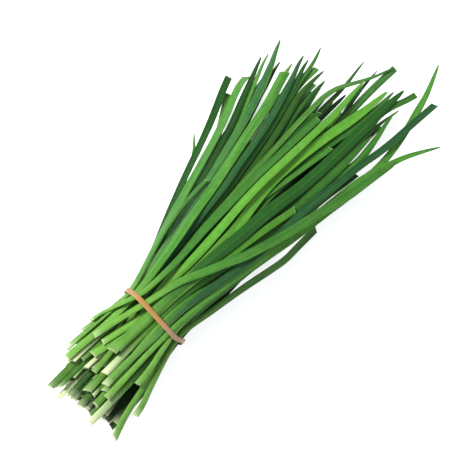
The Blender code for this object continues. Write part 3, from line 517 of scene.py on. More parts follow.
    def nodes(self, leaf, skip):
        """The stations that shape one leaf, with its two ends."""
        start, end = self.start[leaf], self.end[leaf]
        stations = self.x[:, 0]
        inner = [x for x in stations[::skip] if start + STATION_MARGIN < x < end - STATION_MARGIN]
        x = np.array([start, *inner, end])
        values = [np.interp(x, stations, v[:, leaf])
                  for v in (*self.places(), self.half, self.thick, self.roll)]
        return (x, *values)


def core_top(x, y):
    """The height of the core's upper face, or a depth far below where there is none."""
    share = ((x - CORE_CENTRE[0]) / CORE_HALF[0]) ** 2 + ((y - CORE_CENTRE[1]) / CORE_HALF[1]) ** 2
    return np.where(share < 1, CORE_CENTRE[2] + CORE_HALF[2] * np.sqrt(np.clip(1 - share, 0, 1)), -1e3)


@lru_cache
def lay_leaves():
    """Every leaf in its place, as one bunch."""
    rng = random.Random(SEED)
    lower = lower_leaves(rng)
    leaves = list(TOP_LEAVES) + list(SECOND_LEAVES) + lower
    counts = (len(TOP_LEAVES), len(SECOND_LEAVES), len(lower))
    side_play = np.repeat((TOP_PLAY, SECOND_PLAY, LOWER_PLAY), counts)
    bunch = Bunch(leaves, side_play, rng)
    bunch.settle()
    for leaf in range(len(TOP_LEAVES) + len(SECOND_LEAVES), len(leaves)):
        bunch.straighten(leaf, FILLER_SKIP)
    bunch.measure()
    bunch.clear(len(TOP_LEAVES))
    return bunch


# The grid of a blade, in millimetres: rows along it and across, and the rows of its cut ends. Then its
# thickest place, and the thickness of its edges as a share of its middle's.
ROW_STEP = 4.5
ACROSS = 8
CUT_EDGE = 0.5
CUT_LENGTH = 1.5
CUT_ROWS = 3
THICKEST = 2.0
EDGE_SHARE = 0.4
SMOOTH_ANGLE = math.radians(50)

# The width of a blade: how much of it shows along the stalk and where others squeeze it, then its tip.
STALK_SEEN = (0.95, 0.72, 0.72, 1)
SQUEEZE_SEEN = 0.45
TAPER_LENGTH = 42.0
TAPER_POWER = 0.6
POINT_LENGTH = 3.0
POINT_SHARE = 0.97

# The sway of a blade's edges and of its turn, and how the curve across it changes towards the tip.
EDGE_SWAY = (37, 0.03)
ROLL_SWAY = (70, math.radians(7))
ARCH_ALONG = (10, 70)
ARCH_CHANGES = (-0.6, -0.3, 0.4, 0.7)
ARCH_POWER = 1.6

# How far the pale foot reaches and how pale it is, on most leaves and on those with a long foot.
PALE_REACH = (1.0, 9.0)
PALE_MOST = (0.1, 0.8)
PALE_POWER = 1.3
LONG_REACH = 32.0
LONG_MOST = 0.95
PALE_LEAVES = ("second_leaf_06", "second_leaf_07", "second_leaf_20", "top_leaf_06", "top_leaf_11",
               "second_leaf_14")

# Painted shade: how deep a leaf lies before it is darkened, where that darkening fades out along it, and
# the leaves that lie open and get less of it.
PAINTED_SHADE_DEPTHS = (0.62, 0.95)
PAINTED_SHADE_ALONG = (110, 190)
PAINTED_SHADE_AT_TIP = 0.1
PAINTED_SHADE_IN_OPEN = 0.2
OPEN_LEAVES = ("second_leaf_02", "second_leaf_21", "second_leaf_22", "second_leaf_23")

# The strand of the rubber band: its grid, its gap to the blades, the oval that it follows, how its bends
# are eased, the roundness of its section, and how its width swells over a number of steps.
STRAND_STEPS = 180
STRAND_SIDES = 14
STRAND_GAP = 0.2
STRAND_CENTRE = (0.0, 16.0)
STRAND_HALF = (24.0, 15.0)
STRAND_EASE = (0.1, 0.2, 0.4, 0.2, 0.1)
STRAND_SECTION = (0.6, 0.9)
STRAND_SWELL = (30, 0.06)

Shape = namedtuple("Shape", "places depth so_far pale cut sunk chance")


def unit(rows):
    """Each row's direction."""
    return rows / np.linalg.norm(rows, axis=1)[:, None]


def lengths(points):
    """How far along a line each of its points is."""
    return np.concatenate([[0], np.cumsum(np.linalg.norm(np.diff(points, axis=0), axis=1))])


def smooth_noise(rng, x, length, size):
    """A wandering value along x, up to the given size, that turns about once in each length."""
    knots = np.arange(x[0] - length, x[-1] + 2 * length, length)
    swings = [rng.uniform(-size, size) for _ in knots]
    return flow(tuple(zip(knots, swings)), x)[0]


def blade_rows(px):
    """The rows along a blade, closer together at its two ends."""
    start, end = px[0], px[-1]
    count = round((end - start) / ROW_STEP)
    inner = np.linspace(start + CUT_LENGTH, end - CUT_LENGTH, count)
    return np.array([start, start + CUT_EDGE, *inner, end - CUT_EDGE, end])


def blade_half(leaf, x, end):
    """Half the width of a blade that nothing squeezes."""
    stalk = np.interp(x, STALK_ALONG, STALK_SEEN)
    if leaf.tip == "cut":
        return leaf.width / 2 * stalk
    taper = TIP_SHARE + (1 - TIP_SHARE) * np.clip((end - x) / TAPER_LENGTH, 0, 1) ** TAPER_POWER
    point = np.sqrt(1 - POINT_SHARE * np.clip(1 - (end - x) / POINT_LENGTH, 0, 1) ** 2)
    return leaf.width / 2 * stalk * taper * point


def blade_shape(bunch, k, arch):
    """A blade's rows of points, with all that its thickness and its skin need to know."""
    leaf = bunch.leaves[k]
    rng = random.Random(SEED * 1000 + k)
    px, py, pz, half, thick, roll = bunch.nodes(k, 1 if leaf.name else FILLER_SKIP)
    x = blade_rows(px)
    y, slope = flow(tuple(zip(px, py)), x)
    z, climb = flow(tuple(zip(px, pz)), x)
    squeezed = half / np.interp(px, bunch.x[:, 0], bunch.full_half[:, k])
    wide = blade_half(leaf, x, px[-1]) * (1 - SQUEEZE_SEEN * (1 - np.interp(x, px, squeezed)))
    wide *= 1 + smooth_noise(rng, x, *EDGE_SWAY)
    turn = np.interp(x, px, roll) + smooth_noise(rng, x, *ROLL_SWAY)
    along = unit(np.stack([np.ones_like(x), slope, climb], 1))
    aside = unit(np.stack([-slope, np.ones_like(x), np.zeros_like(x)], 1))
    up = np.cross(along, aside)
    across = aside * np.cos(turn)[:, None] + up * np.sin(turn)[:, None]
    face = up * np.cos(turn)[:, None] - aside * np.sin(turn)[:, None]
    bend = arch * np.interp(x, ARCH_ALONG, (1, rng.choice(ARCH_CHANGES)))
    u = np.linspace(-1, 1, ACROSS + 1)
    line = np.stack([x, y, z], 1)
    places = line[:, None, :] + across[:, None, :] * (wide[:, None] * u)[..., None]
    places -= face[:, None, :] * ((bend * wide)[:, None] * np.abs(u) ** ARCH_POWER)[..., None]
    slants = np.zeros_like(x)
    slants[:CUT_ROWS], slants[-CUT_ROWS:] = bunch.cuts[k]
    places += along[:, None, :] * ((slants * wide)[:, None] * u)[..., None]
    depth = np.interp(x, px, thick)[:, None] * (EDGE_SHARE + (1 - EDGE_SHARE) * np.sqrt(1 - u ** 2))
    so_far = lengths(line)
    reach = rng.uniform(*PALE_REACH)
    most = rng.uniform(*PALE_MOST)
    if leaf.name in PALE_LEAVES:
        reach, most = LONG_REACH, LONG_MOST
    pale = np.clip(1 - so_far / reach, 0, 1) ** PALE_POWER * most
    cut = np.zeros_like(x)
    cut[0] = 1
    if leaf.tip == "cut":
        cut[-1] = 1
    places[..., 2] = np.maximum(places[..., 2], depth / 2)
    # Painted shade: leaves that lie deep in the bunch are darkened, less so towards their tips.
    sunk = (1 - np.interp(leaf.depth, PAINTED_SHADE_DEPTHS, (0, 1))) * np.interp(x, PAINTED_SHADE_ALONG, (1, PAINTED_SHADE_AT_TIP))
    if leaf.name in OPEN_LEAVES:
        sunk *= PAINTED_SHADE_IN_OPEN
    return Shape(places * MM, depth, so_far * MM, pale, cut, sunk, rng.random())


def corners(mesh):
    """The places of a mesh's points."""
    places = np.zeros(len(mesh.vertices) * 3)
    mesh.vertices.foreach_get("co", places)
    return places.reshape(-1, 3)


def point_values(mesh, name, values):
    """A number at each point of a mesh, for its material to read."""
    layer = mesh.attributes.new(name, "FLOAT", "POINT")
    layer.data.foreach_set("value", np.ascontiguousarray(values, dtype=np.float32).ravel())


def make_blade(name, bunch, k, arch, material):
    """One leaf: a grid bent along its route, thickened to a lens with square cut ends."""
    shape = blade_shape(bunch, k, arch)
    rows, columns = shape.depth.shape
    bpy.ops.object.select_all(action="DESELECT")
    bpy.ops.mesh.primitive_grid_add(x_subdivisions=columns - 1, y_subdivisions=rows - 1, size=2)
    blade = bpy.context.object
    blade.name = name
    mesh = blade.data
    mesh.name = name
    flat = corners(mesh)
    column = np.rint((flat[:, 0] + 1) / 2 * (columns - 1)).astype(int)
    row = np.rint((flat[:, 1] + 1) / 2 * (rows - 1)).astype(int)
    mesh.vertices.foreach_set("co", shape.places[row, column].ravel())
    loops = np.zeros(len(mesh.loops), dtype=np.int32)
    mesh.loops.foreach_get("vertex_index", loops)
    spread = np.stack([column[loops] / (columns - 1), shape.so_far[row[loops]]], 1)
    mesh.uv_layers.active.data.foreach_set("uv", spread.ravel())
    point_values(mesh, "pale", shape.pale[row])
    point_values(mesh, "cut_face", shape.cut[row])
    point_values(mesh, "chance", np.full(len(row), shape.chance))
    # The painted shade, for the material to darken the leaf with.
    point_values(mesh, "sunk", shape.sunk[row])
    group = blade.vertex_groups.new(name="thickness")
    for index, share in enumerate(shape.depth[row, column] / THICKEST):
        group.add([index], float(share), "REPLACE")
    wall = blade.modifiers.new("thickness", "SOLIDIFY")
    wall.thickness = THICKEST * MM
    wall.offset = 0
    wall.vertex_group = group.name
    bpy.ops.object.modifier_apply(modifier=wall.name)
    blade.vertex_groups.clear()
    mesh.materials.clear()
    mesh.materials.append(material)
    bpy.ops.object.shade_smooth_by_angle(angle=SMOOTH_ANGLE)
    return blade


# Streaks: their turns over the piece's own map, their fineness, and how far they shift from leaf to leaf.
LEAF_STREAKS = (9.0, 22.0)
RUBBER_STREAKS = (9.0, 26.0)
STREAK_DETAIL = 4.0
STREAK_GRAIN = 0.65
RUBBER_GRAIN = 0.5
STREAK_SHIFT = 60.0

# The mottling of a leaf: turns to the metre, detail and roughness.
MOTTLING = (170.0, 6.0, 0.75)

# Where a leaf's foot ends along it, in metres, and what makes a patch of leaf look young.
FOOT_REACH = (0.02, 0.095)
FOOT_YOUTH = 0.9
STREAK_YOUTH = 1.9
STREAK_AGE = 0.95
CHANCE_YOUTH = 0.5
CHANCE_AGE = 0.1

# How light a leaf is: shares and offsets of its mottling, its chance, and the painted shade that darkens it
# by its depth in the bunch.
MOTTLE_SHADE = (0.9, 0.55)
CHANCE_SHADE = (0.7, 0.6)
PAINTED_SHADE_STRENGTH = (-0.75, 1.0)
FOOT_SHADE = 1.05

# A leaf's midrib, cut face, veins, bump and gloss.
RIB_REACH = (0.0, 0.09)
RIB_COLOUR = 0.14
RIB_BUMP = -0.7
CUT_COLOUR = 0.9
CUT_ROUGHNESS = -0.1
VEIN_COUNT = 13
STREAK_BUMP = 0.8
STREAK_ROUGHNESS = (0.22, 0.32)
LEAF_BUMP = (0.6, 0.00022)
LEAF_GLOSS = 0.25

# Rubber: its powder, the streaks' share, where its sides turn pale, its bump, and the light in it.
POWDER = (420.0, 3.0, 0.5)
POWDER_ROUGHNESS = (0.2, 0.45)
POWDER_BUMP = 0.3
DEEP_SHARE = 0.6
PALE_SIDES = (0.009, 0.021)
RUBBER_BUMP = (0.5, 0.00015)
RUBBER_GLOW = 0.08
RUBBER_GLOW_REACH = (0.003, 0.0015, 0.0006)


def add_node(tree, kind, settings=None, **sockets):
    """A shader node with its settings, and with its inputs set or linked."""
    made = tree.nodes.new("ShaderNode" + kind)
    for name, value in (settings or {}).items():
        setattr(made, name, value)
    for name, value in sockets.items():
        feed(tree, made.inputs[name.replace("_", " ")], value)
    return made


def feed(tree, socket, value):
    """Links an output into a socket, or sets the socket's own value."""
    if isinstance(value, bpy.types.NodeSocket):
        tree.links.new(value, socket)
    else:
        socket.default_value = value


def sum_up(tree, operation, first, second=0.5, third=0.5, clamp=False):
    """One step of arithmetic on values."""
    made = tree.nodes.new("ShaderNodeMath")
    made.operation = operation
    made.use_clamp = clamp
    for socket, value in zip(made.inputs, (first, second, third)):
        feed(tree, socket, value)
    return made.outputs[0]


def blend(tree, share, first, second, how="MIX"):
    """One colour mixed into another."""
    made = tree.nodes.new("ShaderNodeMix")
    made.data_type = "RGBA"
    made.blend_type = how
    made.clamp_factor = True
    feed(tree, made.inputs[0], share)
    feed(tree, made.inputs[6], first)
    feed(tree, made.inputs[7], second)
    return made.outputs[2]


def product(tree, first, second):
    """Two values multiplied."""
    return sum_up(tree, "MULTIPLY", first, second)


def scaled(tree, value, share, offset):
    """A value multiplied by a share and then raised by an offset."""
    return sum_up(tree, "MULTIPLY_ADD", value, share, offset)


def fade(tree, value, limits, first, last):
    """A soft step from the first to the last number as the value passes between its limits."""
    made = add_node(tree, "MapRange", {"interpolation_type": "SMOOTHSTEP"}, Value=value,
                    From_Min=limits[0], From_Max=limits[1], To_Min=first, To_Max=last)
    return made.outputs[0]


def noise(tree, place, scale, detail, roughness):
    """Noise at a place."""
    made = add_node(tree, "TexNoise", Vector=place, Scale=scale, Detail=detail, Roughness=roughness)
    return made.outputs[0]


def streaks(tree, turns, roughness, shift=0.0):
    """Noise drawn out along a piece, in turns over its own map, with the map's two directions."""
    place = add_node(tree, "SeparateXYZ", Vector=add_node(tree, "UVMap").outputs[0])
    across, along = place.outputs[0], place.outputs[1]
    stretched = add_node(tree, "CombineXYZ", X=product(tree, across, turns[0]),
                         Y=product(tree, along, turns[1]), Z=shift)
    return noise(tree, stretched.outputs[0], 1.0, STREAK_DETAIL, roughness), across, along


def new_group(name, inputs, outputs):
    """An empty shader group with its sockets, and its two end nodes."""
    group = bpy.data.node_groups.new(name, "ShaderNodeTree")
    for label, kind in inputs:
        group.interface.new_socket(name=label, in_out="INPUT", socket_type="NodeSocket" + kind)
    for label, kind in outputs:
        group.interface.new_socket(name=label, in_out="OUTPUT", socket_type="NodeSocket" + kind)
    return group, group.nodes.new("NodeGroupInput"), group.nodes.new("NodeGroupOutput")


def new_material(name):
    """A material with a shader, and its node tree."""
    material = bpy.data.materials.new(name)
    material.use_nodes = True
    return material, material.node_tree


def set_inputs(node, values):
    """Sets a shader's own sockets."""
    for name, value in values.items():
        node.inputs[name].default_value = value


def dress_surface(tree, colour, roughness, height, bump):
    """Feeds a material's shader. The bump is its strength and its depth in metres."""
    surface = tree.nodes["Principled BSDF"]
    raised = add_node(tree, "Bump", Strength=bump[0], Distance=bump[1], Height=height)
    feed(tree, surface.inputs["Base Color"], colour)
    feed(tree, surface.inputs["Roughness"], roughness)
    feed(tree, surface.inputs["Normal"], raised.outputs["Normal"])
    return surface


def leaf_skin_group():
    """The skin of a leaf: parallel veins, streaks, a midrib, a paler foot, a wet cut face and painted shade
    on leaves deep in the bunch.
    """
    group, given, out = new_group(
        "leaf_skin",
        (("Green", "Color"), ("Young", "Color"), ("Pale", "Color"), ("Cut", "Color"), ("Veins", "Float")),
        (("Colour", "Color"), ("Roughness", "Float"), ("Height", "Float")))
    chance, pale, cut, sunk = (add_node(group, "Attribute", {"attribute_name": name}).outputs["Fac"]
                               for name in ("chance", "pale", "cut_face", "sunk"))
    streak, across, along = streaks(group, LEAF_STREAKS, STREAK_GRAIN, product(group, chance, STREAK_SHIFT))
    mottle = noise(group, add_node(group, "TexCoord").outputs["Object"], *MOTTLING)

    foot = fade(group, along, FOOT_REACH, FOOT_YOUTH, 0.0)
    # The pale foot fades where painted shade darkens the leaf.
    foot = product(group, foot, sum_up(group, "SUBTRACT", 1.0, sunk))
    youth = scaled(group, streak, STREAK_YOUTH, sum_up(group, "SUBTRACT", foot, STREAK_AGE))
    youth = sum_up(group, "SUBTRACT", youth, CHANCE_AGE)
    youth = sum_up(group, "MULTIPLY_ADD", chance, CHANCE_YOUTH, youth, clamp=True)
    colour = blend(group, youth, given.outputs["Green"], given.outputs["Young"])

    own = scaled(group, chance, *CHANCE_SHADE)
    own = scaled(group, foot, sum_up(group, "SUBTRACT", FOOT_SHADE, own), own)
    shade = product(group, scaled(group, mottle, *MOTTLE_SHADE), own)
    # Painted shade: darkens a leaf by how deep it lies in the bunch.
    shade = product(group, shade, scaled(group, sunk, *PAINTED_SHADE_STRENGTH))
    grey = add_node(group, "CombineColor", Red=shade, Green=shade, Blue=shade).outputs[0]
    colour = blend(group, 1.0, colour, grey, "MULTIPLY")

    off_middle = sum_up(group, "ABSOLUTE", sum_up(group, "SUBTRACT", across, 0.5))
    rib = fade(group, off_middle, RIB_REACH, 1.0, 0.0)
    colour = blend(group, product(group, rib, RIB_COLOUR), colour, given.outputs["Young"])
    colour = blend(group, pale, colour, given.outputs["Pale"])
    colour = blend(group, product(group, cut, CUT_COLOUR), colour, given.outputs["Cut"])

    wave = sum_up(group, "SINE", product(group, across, 2 * math.pi * VEIN_COUNT))
    veins = product(group, scaled(group, wave, 0.5, 0.5), given.outputs["Veins"])
    height = scaled(group, rib, RIB_BUMP, scaled(group, streak, STREAK_BUMP, veins))
    rough = scaled(group, cut, CUT_ROUGHNESS, scaled(group, streak, *STREAK_ROUGHNESS))
    for label, value in (("Colour", colour), ("Roughness", rough), ("Height", height)):
        feed(group, out.inputs[label], value)
    return group


def leaf_material(tone, look):
    """One green of the leaves."""
    name = f"leaf_{tone}_skin"
    if name in bpy.data.materials:
        return bpy.data.materials[name]
    material, tree = new_material(name)
    skin = tree.nodes.new("ShaderNodeGroup")
    skin.node_tree = bpy.data.node_groups.get("leaf_skin") or leaf_skin_group()
    green = getattr(look, tone)
    young = [(side + 2 * other) / 3 for side, other in zip(green, look.young)]
    for label, value in (("Green", green), ("Young", young), ("Pale", look.pale), ("Cut", look.cut_face)):
        skin.inputs[label].default_value = (*value, 1)
    skin.inputs["Veins"].default_value = look.vein_depth
    surface = dress_surface(tree, skin.outputs["Colour"], skin.outputs["Roughness"],
                            skin.outputs["Height"], LEAF_BUMP)
    set_inputs(surface, {"Specular IOR Level": LEAF_GLOSS})
    return material


def rubber_material(look):
    """Tan rubber, stretched thin: lengthwise streaks, a paler colour towards the sides of the bunch and a
    dusting of powder.
    """
    material, tree = new_material("band_rubber_skin")
    streak = streaks(tree, RUBBER_STREAKS, RUBBER_GRAIN)[0]
    spots = add_node(tree, "TexCoord").outputs["Object"]
    powder = noise(tree, spots, *POWDER)
    # The band turns paler towards the sides of the bunch, by its distance across it.
    off_middle = sum_up(tree, "ABSOLUTE", add_node(tree, "SeparateXYZ", Vector=spots).outputs[1])
    thin = fade(tree, off_middle, PALE_SIDES, 0.0, 1.0)
    colour = blend(tree, thin, (*look.rubber, 1), (*look.rubber_pale, 1))
    colour = blend(tree, product(tree, streak, DEEP_SHARE), colour, (*look.rubber_deep, 1))
    surface = dress_surface(tree, colour, scaled(tree, powder, *POWDER_ROUGHNESS),
                            scaled(tree, powder, POWDER_BUMP, streak), RUBBER_BUMP)
    set_inputs(surface, {"Subsurface Weight": RUBBER_GLOW, "Subsurface Radius": RUBBER_GLOW_REACH})
    return material


def finish_piece(piece, slot, *nodes):
    """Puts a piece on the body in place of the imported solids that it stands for."""
    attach(piece, "root")
    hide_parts(*nodes)


def add_blade(context, k, name):
    """The blade of one leaf, with the sizes and colours of the scene."""
    scene = context.scene
    bunch = lay_leaves()
    material = leaf_material(bunch.leaves[k].tone, scene.chives_colours)
    return make_blade(name, bunch, k, scene.chives_sizes.arch, material)


def band_ring(points, count, clearance):
    """The strand's middle line in even steps, clear of the points and with its bends eased."""
    turns = np.linspace(0, 2 * math.pi, count, endpoint=False)
    ways = np.stack([np.cos(turns), np.sin(turns)], 1)
    reach = (points @ ways.T).max(axis=0) + clearance
    after, beyond = np.roll(ways, -1, axis=0), np.roll(reach, -1)
    y = reach * after[:, 1] - beyond * ways[:, 1]
    z = beyond * ways[:, 0] - reach * after[:, 0]
    ring = np.stack([y, z], 1) / math.sin(2 * math.pi / count)
    closed = np.concatenate([ring, ring[:1]])
    so_far = lengths(closed)
    even = np.linspace(0, so_far[-1], count, endpoint=False)
    ring = np.stack([np.interp(even, so_far, side) for side in closed.T], 1)
    middle = len(STRAND_EASE) // 2
    return sum(share * np.roll(ring, step - middle, axis=0) for step, share in enumerate(STRAND_EASE))


def band_shift(ring):
    """Where the strand lies along the bunch at each place round it."""
    y, z = ((ring - STRAND_CENTRE) / np.square(STRAND_HALF)).T
    turn = np.arctan2(z, y)
    waves = (np.ones_like(turn), np.cos(turn), np.sin(turn), np.cos(2 * turn), np.sin(2 * turn))
    return sum(share * wave for share, wave in zip(BAND_SWAY, waves))


def points_under_band():
    """The blades' points under the band, seen along the bunch."""
    points = []
    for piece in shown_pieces():
        if "blade" in piece.name:
            places = corners(piece.data) / MM
            near = (places[:, 0] > BAND_SPAN[0]) & (places[:, 0] < BAND_SPAN[1])
            points.append(places[near, 1:])
    return np.concatenate(points)


class ChivesSizes(bpy.types.PropertyGroup):
    """Sizes that a user may change."""
    arch: bpy.props.FloatProperty(
        name="Arch", description="How far a blade's edges curve down, as a share of its half width",
        default=0.28, min=0.0, max=0.6)
    band_width: bpy.props.FloatProperty(
        name="Band width", description="Width of the rubber strand", default=BAND_WIDTH * MM,
        unit="LENGTH", subtype="DISTANCE")
    band_thickness: bpy.props.FloatProperty(
        name="Band thickness", description="Thickness of the rubber strand", default=BAND_THICKNESS * MM,
        unit="LENGTH", subtype="DISTANCE")


def colour_property(name, description, default):
    """A colour that a user may change."""
    return bpy.props.FloatVectorProperty(
        name=name, description=description, default=default, size=3, min=0.0, max=1.0, subtype="COLOR")


class ChivesColours(bpy.types.PropertyGroup):
    """Colours that a user may change."""
    mid: colour_property("Mid green", "Green of most leaves", (0.017, 0.118, 0.011))
    light: colour_property("Light green", "Green of the lighter leaves", (0.04, 0.183, 0.019))
    bright: colour_property("Bright green", "Green of the brightest leaves", (0.065, 0.24, 0.018))
    blue: colour_property("Blue green", "Green of the bluish leaves", (0.012, 0.09, 0.022))
    dark: colour_property("Dark green", "Green of the darkest leaves", (0.011, 0.074, 0.01))
    olive: colour_property("Olive green", "Green of the olive leaves", (0.032, 0.125, 0.012))
    young: colour_property("Young green", "Lighter green of streaks and feet", (0.155, 0.35, 0.047))
    pale: colour_property("Pale foot", "Colour of a leaf's foot", (0.56, 0.63, 0.36))
    cut_face: colour_property("Cut face", "Colour of a cut end", (0.42, 0.52, 0.24))
    rubber: colour_property("Rubber", "Colour of the rubber band", (0.355, 0.18, 0.05))
    # The pale rubber is used towards the sides of the bunch, set by distance across it.
    rubber_pale: colour_property("Pale rubber", "Colour of the band where it is thin", (0.34, 0.21, 0.145))
    rubber_deep: colour_property("Deep rubber", "Colour of the band's streaks", (0.29, 0.13, 0.035))
    vein_depth: bpy.props.FloatProperty(
        name="Vein depth", description="Depth of the parallel veins in the bump", default=0.5, min=0.0,
        max=2.0)


class ChivesStage(bpy.types.PropertyGroup):
    """Light that a user may change."""
    ambient: bpy.props.FloatProperty(
        name="Ambient", description="Strength of the light from all round", default=0.55, min=0.0)
    floor_glow: bpy.props.FloatProperty(
        name="Floor glow", description="Light that the floor gives off, so that it stays pale",
        default=0.74, min=0.0)
    key_power: bpy.props.FloatProperty(
        name="Key power", description="Power of the large light", default=32.0, min=0.0, unit="POWER")
    fill_power: bpy.props.FloatProperty(
        name="Fill power", description="Power of the weak light", default=4.0, min=0.0, unit="POWER")


class CHIVES_OT_top_blades(bpy.types.Operator):
    """Models each leaf that lies on top of the bunch"""
    bl_idname = "chives.top_blades"
    bl_label = "Top blades"

    def execute(self, context):
        for k, leaf in enumerate(TOP_LEAVES):
            blade = add_blade(context, k, leaf.name.replace("leaf", "blade"))
            finish_piece(blade, "leaf_" + leaf.tone, leaf.name)
        return {"FINISHED"}


class CHIVES_OT_second_blades(bpy.types.Operator):
    """Models each leaf that shows between and below the top ones"""
    bl_idname = "chives.second_blades"
    bl_label = "Second blades"

    def execute(self, context):
        for k, leaf in enumerate(SECOND_LEAVES, len(TOP_LEAVES)):
            blade = add_blade(context, k, leaf.name.replace("leaf", "blade"))
            finish_piece(blade, SLOTS[leaf.tone], "packed_leaves")
        return {"FINISHED"}


class CHIVES_OT_inner_blades(bpy.types.Operator):
    """Models the leaves inside and on the underside, joined by their green"""
    bl_idname = "chives.inner_blades"
    bl_label = "Inner blades"

    def execute(self, context):
        leaves = lay_leaves().leaves
        first = len(TOP_LEAVES) + len(SECOND_LEAVES)
        for tone in sorted(set(LOWER_GREENS)):
            chosen = [k for k in range(first, len(leaves)) if leaves[k].tone == tone]
            blades = [add_blade(context, k, f"inner_blade_{k:02d}") for k in chosen]
            bpy.ops.object.select_all(action="DESELECT")
            for blade in blades:
                blade.select_set(True)
            context.view_layer.objects.active = blades[0]
            bpy.ops.object.join()
            blades[0].name = "inner_blades_" + tone
            finish_piece(blades[0], SLOTS[tone], "packed_leaves")
        return {"FINISHED"}


class CHIVES_OT_rubber_strand(bpy.types.Operator):
    """Models the rubber band, stretched over the blades"""
    bl_idname = "chives.rubber_strand"
    bl_label = "Rubber strand"

    def execute(self, context):
        sizes = context.scene.chives_sizes
        width = sizes.band_width / MM
        thick = sizes.band_thickness / MM
        bpy.ops.object.select_all(action="DESELECT")
        bpy.ops.mesh.primitive_torus_add(major_segments=STRAND_STEPS, minor_segments=STRAND_SIDES,
                                         major_radius=1.0, minor_radius=0.2, generate_uvs=True)
        strand = context.object
        strand.name = "rubber_strand"
        strand.data.name = "rubber_strand"
        ring = band_ring(points_under_band(), STRAND_STEPS, STRAND_GAP + thick / 2)
        chord = unit(np.roll(ring, -1, axis=0) - np.roll(ring, 1, axis=0))
        out = np.stack([chord[:, 1], -chord[:, 0]], 1)
        sides = np.linspace(0, 2 * math.pi, STRAND_SIDES, endpoint=False)
        flat, tall = (np.sign(wave) * np.abs(wave) ** power
                      for wave, power in zip((np.cos(sides), np.sin(sides)), STRAND_SECTION))
        steps = np.arange(STRAND_STEPS, dtype=float)
        breadth = 1 + smooth_noise(random.Random(SEED), steps, *STRAND_SWELL)
        points = np.zeros((STRAND_STEPS, STRAND_SIDES, 3))
        points[..., 0] = band_shift(ring)[:, None] + width / 2 * breadth[:, None] * flat
        points[..., 1:] = ring[:, None, :] + out[:, None, :] * (thick / 2 * tall)[None, :, None]
        points[..., 2] = np.maximum(points[..., 2], 0)
        strand.data.vertices.foreach_set("co", (points * MM).ravel())
        bpy.ops.object.mode_set(mode="EDIT")
        bpy.ops.mesh.select_all(action="SELECT")
        bpy.ops.mesh.normals_make_consistent(inside=False)
        bpy.ops.object.mode_set(mode="OBJECT")
        strand.data.materials.append(rubber_material(context.scene.chives_colours))
        bpy.ops.object.shade_smooth()
        finish_piece(strand, "band_rubber", "rubber_band")
        return {"FINISHED"}


# The floor and the light from all round.
FLOOR_SIZE = 8
FLOOR_DROP = 0.0002
FLOOR_COLOUR = (0.62, 0.625, 0.63, 1)
FLOOR_ROUGHNESS = 0.9
GLOW_COLOUR = (0.98, 0.99, 1.0, 1)
SKY_COLOUR = (0.95, 0.975, 1.0, 1)

# The lights: their distance from the target, then each one's way from it, rightwards, upwards and
# backwards in the view, and its size.
LIGHT_DISTANCE = 1.4
KEY_LIGHT = ((-0.75, 0.6, 0.9), 0.45)
FILL_LIGHT = ((0.9, -0.2, 1.0), 1.2)

# The camera: where it looks from, and how the photograph is framed.
VIEW_TURN = math.radians(-49)
VIEW_ELEVATION = math.radians(62)
VIEW_DISTANCE = 1.15
VIEW_WIDTH = 0.3018
VIEW_TARGET = (0.0, 0.0, 0.018)
PHOTO_SIZE = 468
TARGET_PIXEL = (153.4, 316.2)
SENSOR = 36.0


class CHIVES_OT_stage(bpy.types.Operator):
    """Sets up the floor, the lights and the camera"""
    bl_idname = "chives.stage"
    bl_label = "Stage"

    def execute(self, context):
        scene = context.scene
        settings = scene.chives_stage
        bpy.ops.object.select_all(action="DESELECT")
        bpy.ops.mesh.primitive_plane_add(size=FLOOR_SIZE, location=(0, 0, -FLOOR_DROP))
        floor = context.object
        floor.name = "floor"
        paper, tree = new_material("floor_paper")
        set_inputs(tree.nodes["Principled BSDF"], {
            "Base Color": FLOOR_COLOUR, "Roughness": FLOOR_ROUGHNESS, "Emission Color": GLOW_COLOUR,
            "Emission Strength": settings.floor_glow})
        floor.data.materials.append(paper)
        floor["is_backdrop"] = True
        world = bpy.data.worlds.new("studio")
        world.use_nodes = True
        set_inputs(world.node_tree.nodes["Background"], {"Color": SKY_COLOUR, "Strength": settings.ambient})
        scene.world = world
        axes = view_axes()
        add_light("key", *KEY_LIGHT, settings.key_power, *axes)
        add_light("fill", *FILL_LIGHT, settings.fill_power, *axes)
        add_camera(scene, *axes)
        scene.view_settings.view_transform = "Standard"
        return {"FINISHED"}


def view_axes():
    """The camera's backward, right and upward directions."""
    flat = math.cos(VIEW_ELEVATION)
    back = np.array([math.sin(VIEW_TURN) * flat, -math.cos(VIEW_TURN) * flat, math.sin(VIEW_ELEVATION)])
    right = np.array([math.cos(VIEW_TURN), math.sin(VIEW_TURN), 0.0])
    return back, right, np.cross(back, right)


def add_light(name, shares, size, power, back, right, up):
    """A square light that faces the bunch."""
    way = shares[0] * right + shares[1] * up + shares[2] * back
    place = np.array(VIEW_TARGET) + way / np.linalg.norm(way) * LIGHT_DISTANCE
    bpy.ops.object.light_add(type="AREA", location=tuple(place))
    light = bpy.context.object
    light.name = name
    light.data.size = size
    light.data.energy = power
    light.rotation_euler = mathutils.Vector(tuple(way)).to_track_quat("Z", "Y").to_euler()


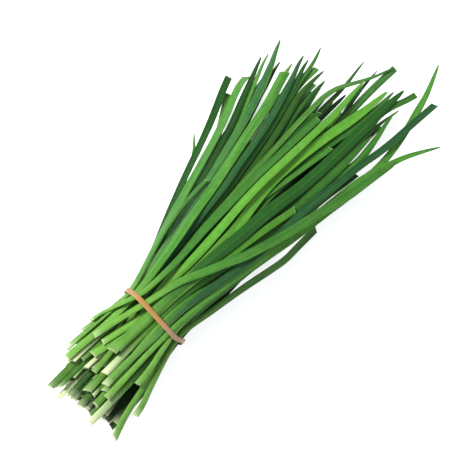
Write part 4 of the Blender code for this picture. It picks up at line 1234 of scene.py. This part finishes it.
def add_camera(scene, back, right, up):
    """The camera, turned so that the target shows where it does in the photograph."""
    focal = PHOTO_SIZE * VIEW_DISTANCE / VIEW_WIDTH
    aim = (PHOTO_SIZE / 2 - np.array(TARGET_PIXEL)) / focal
    ahead = mathutils.Vector(tuple(-back + aim[0] * right - aim[1] * up))
    bpy.ops.object.camera_add(location=tuple(np.array(VIEW_TARGET) + back * VIEW_DISTANCE))
    camera = bpy.context.object
    camera.name = "camera"
    straight = mathutils.Matrix((tuple(right), tuple(up), tuple(back))).transposed()
    turned = mathutils.Vector(tuple(-back)).rotation_difference(ahead).to_matrix() @ straight
    camera.rotation_euler = turned.to_euler()
    camera.data.sensor_width = SENSOR
    camera.data.lens = SENSOR * focal / PHOTO_SIZE
    scene.camera = camera


class CHIVES_PT_bunch(bpy.types.Panel):
    """Sizes, colours and steps of the bunch"""
    bl_idname = "CHIVES_PT_bunch"
    bl_label = "Garlic chives"
    bl_space_type = "VIEW_3D"
    bl_region_type = "UI"
    bl_category = "Chives"

    def draw(self, context):
        scene = context.scene
        # The first two properties of a group are Blender's own.
        for settings in (scene.chives_sizes, scene.chives_colours, scene.chives_stage):
            for name in settings.bl_rna.properties.keys()[2:]:
                self.layout.prop(settings, name)
        for step in STEPS:
            self.layout.operator(step.bl_idname)


STEPS = (CHIVES_OT_top_blades, CHIVES_OT_second_blades, CHIVES_OT_inner_blades, CHIVES_OT_rubber_strand,
         CHIVES_OT_stage)
CLASSES = (ChivesSizes, ChivesColours, ChivesStage, *STEPS, CHIVES_PT_bunch)


def register():
    """Adds the classes and the settings."""
    for kind in CLASSES:
        bpy.utils.register_class(kind)
    bpy.types.Scene.chives_sizes = bpy.props.PointerProperty(type=ChivesSizes)
    bpy.types.Scene.chives_colours = bpy.props.PointerProperty(type=ChivesColours)
    bpy.types.Scene.chives_stage = bpy.props.PointerProperty(type=ChivesStage)


def unregister():
    """Takes the settings and the classes away again."""
    del bpy.types.Scene.chives_stage
    del bpy.types.Scene.chives_colours
    del bpy.types.Scene.chives_sizes
    for kind in reversed(CLASSES):
        bpy.utils.unregister_class(kind)


def main():
    """Dresses the bunch and sets up its stage."""
    register()
    bpy.ops.chives.top_blades()
    bpy.ops.chives.second_blades()
    bpy.ops.chives.inner_blades()
    bpy.ops.chives.rubber_strand()
    bpy.ops.chives.stage()


if __name__ == "__main__":
    main()
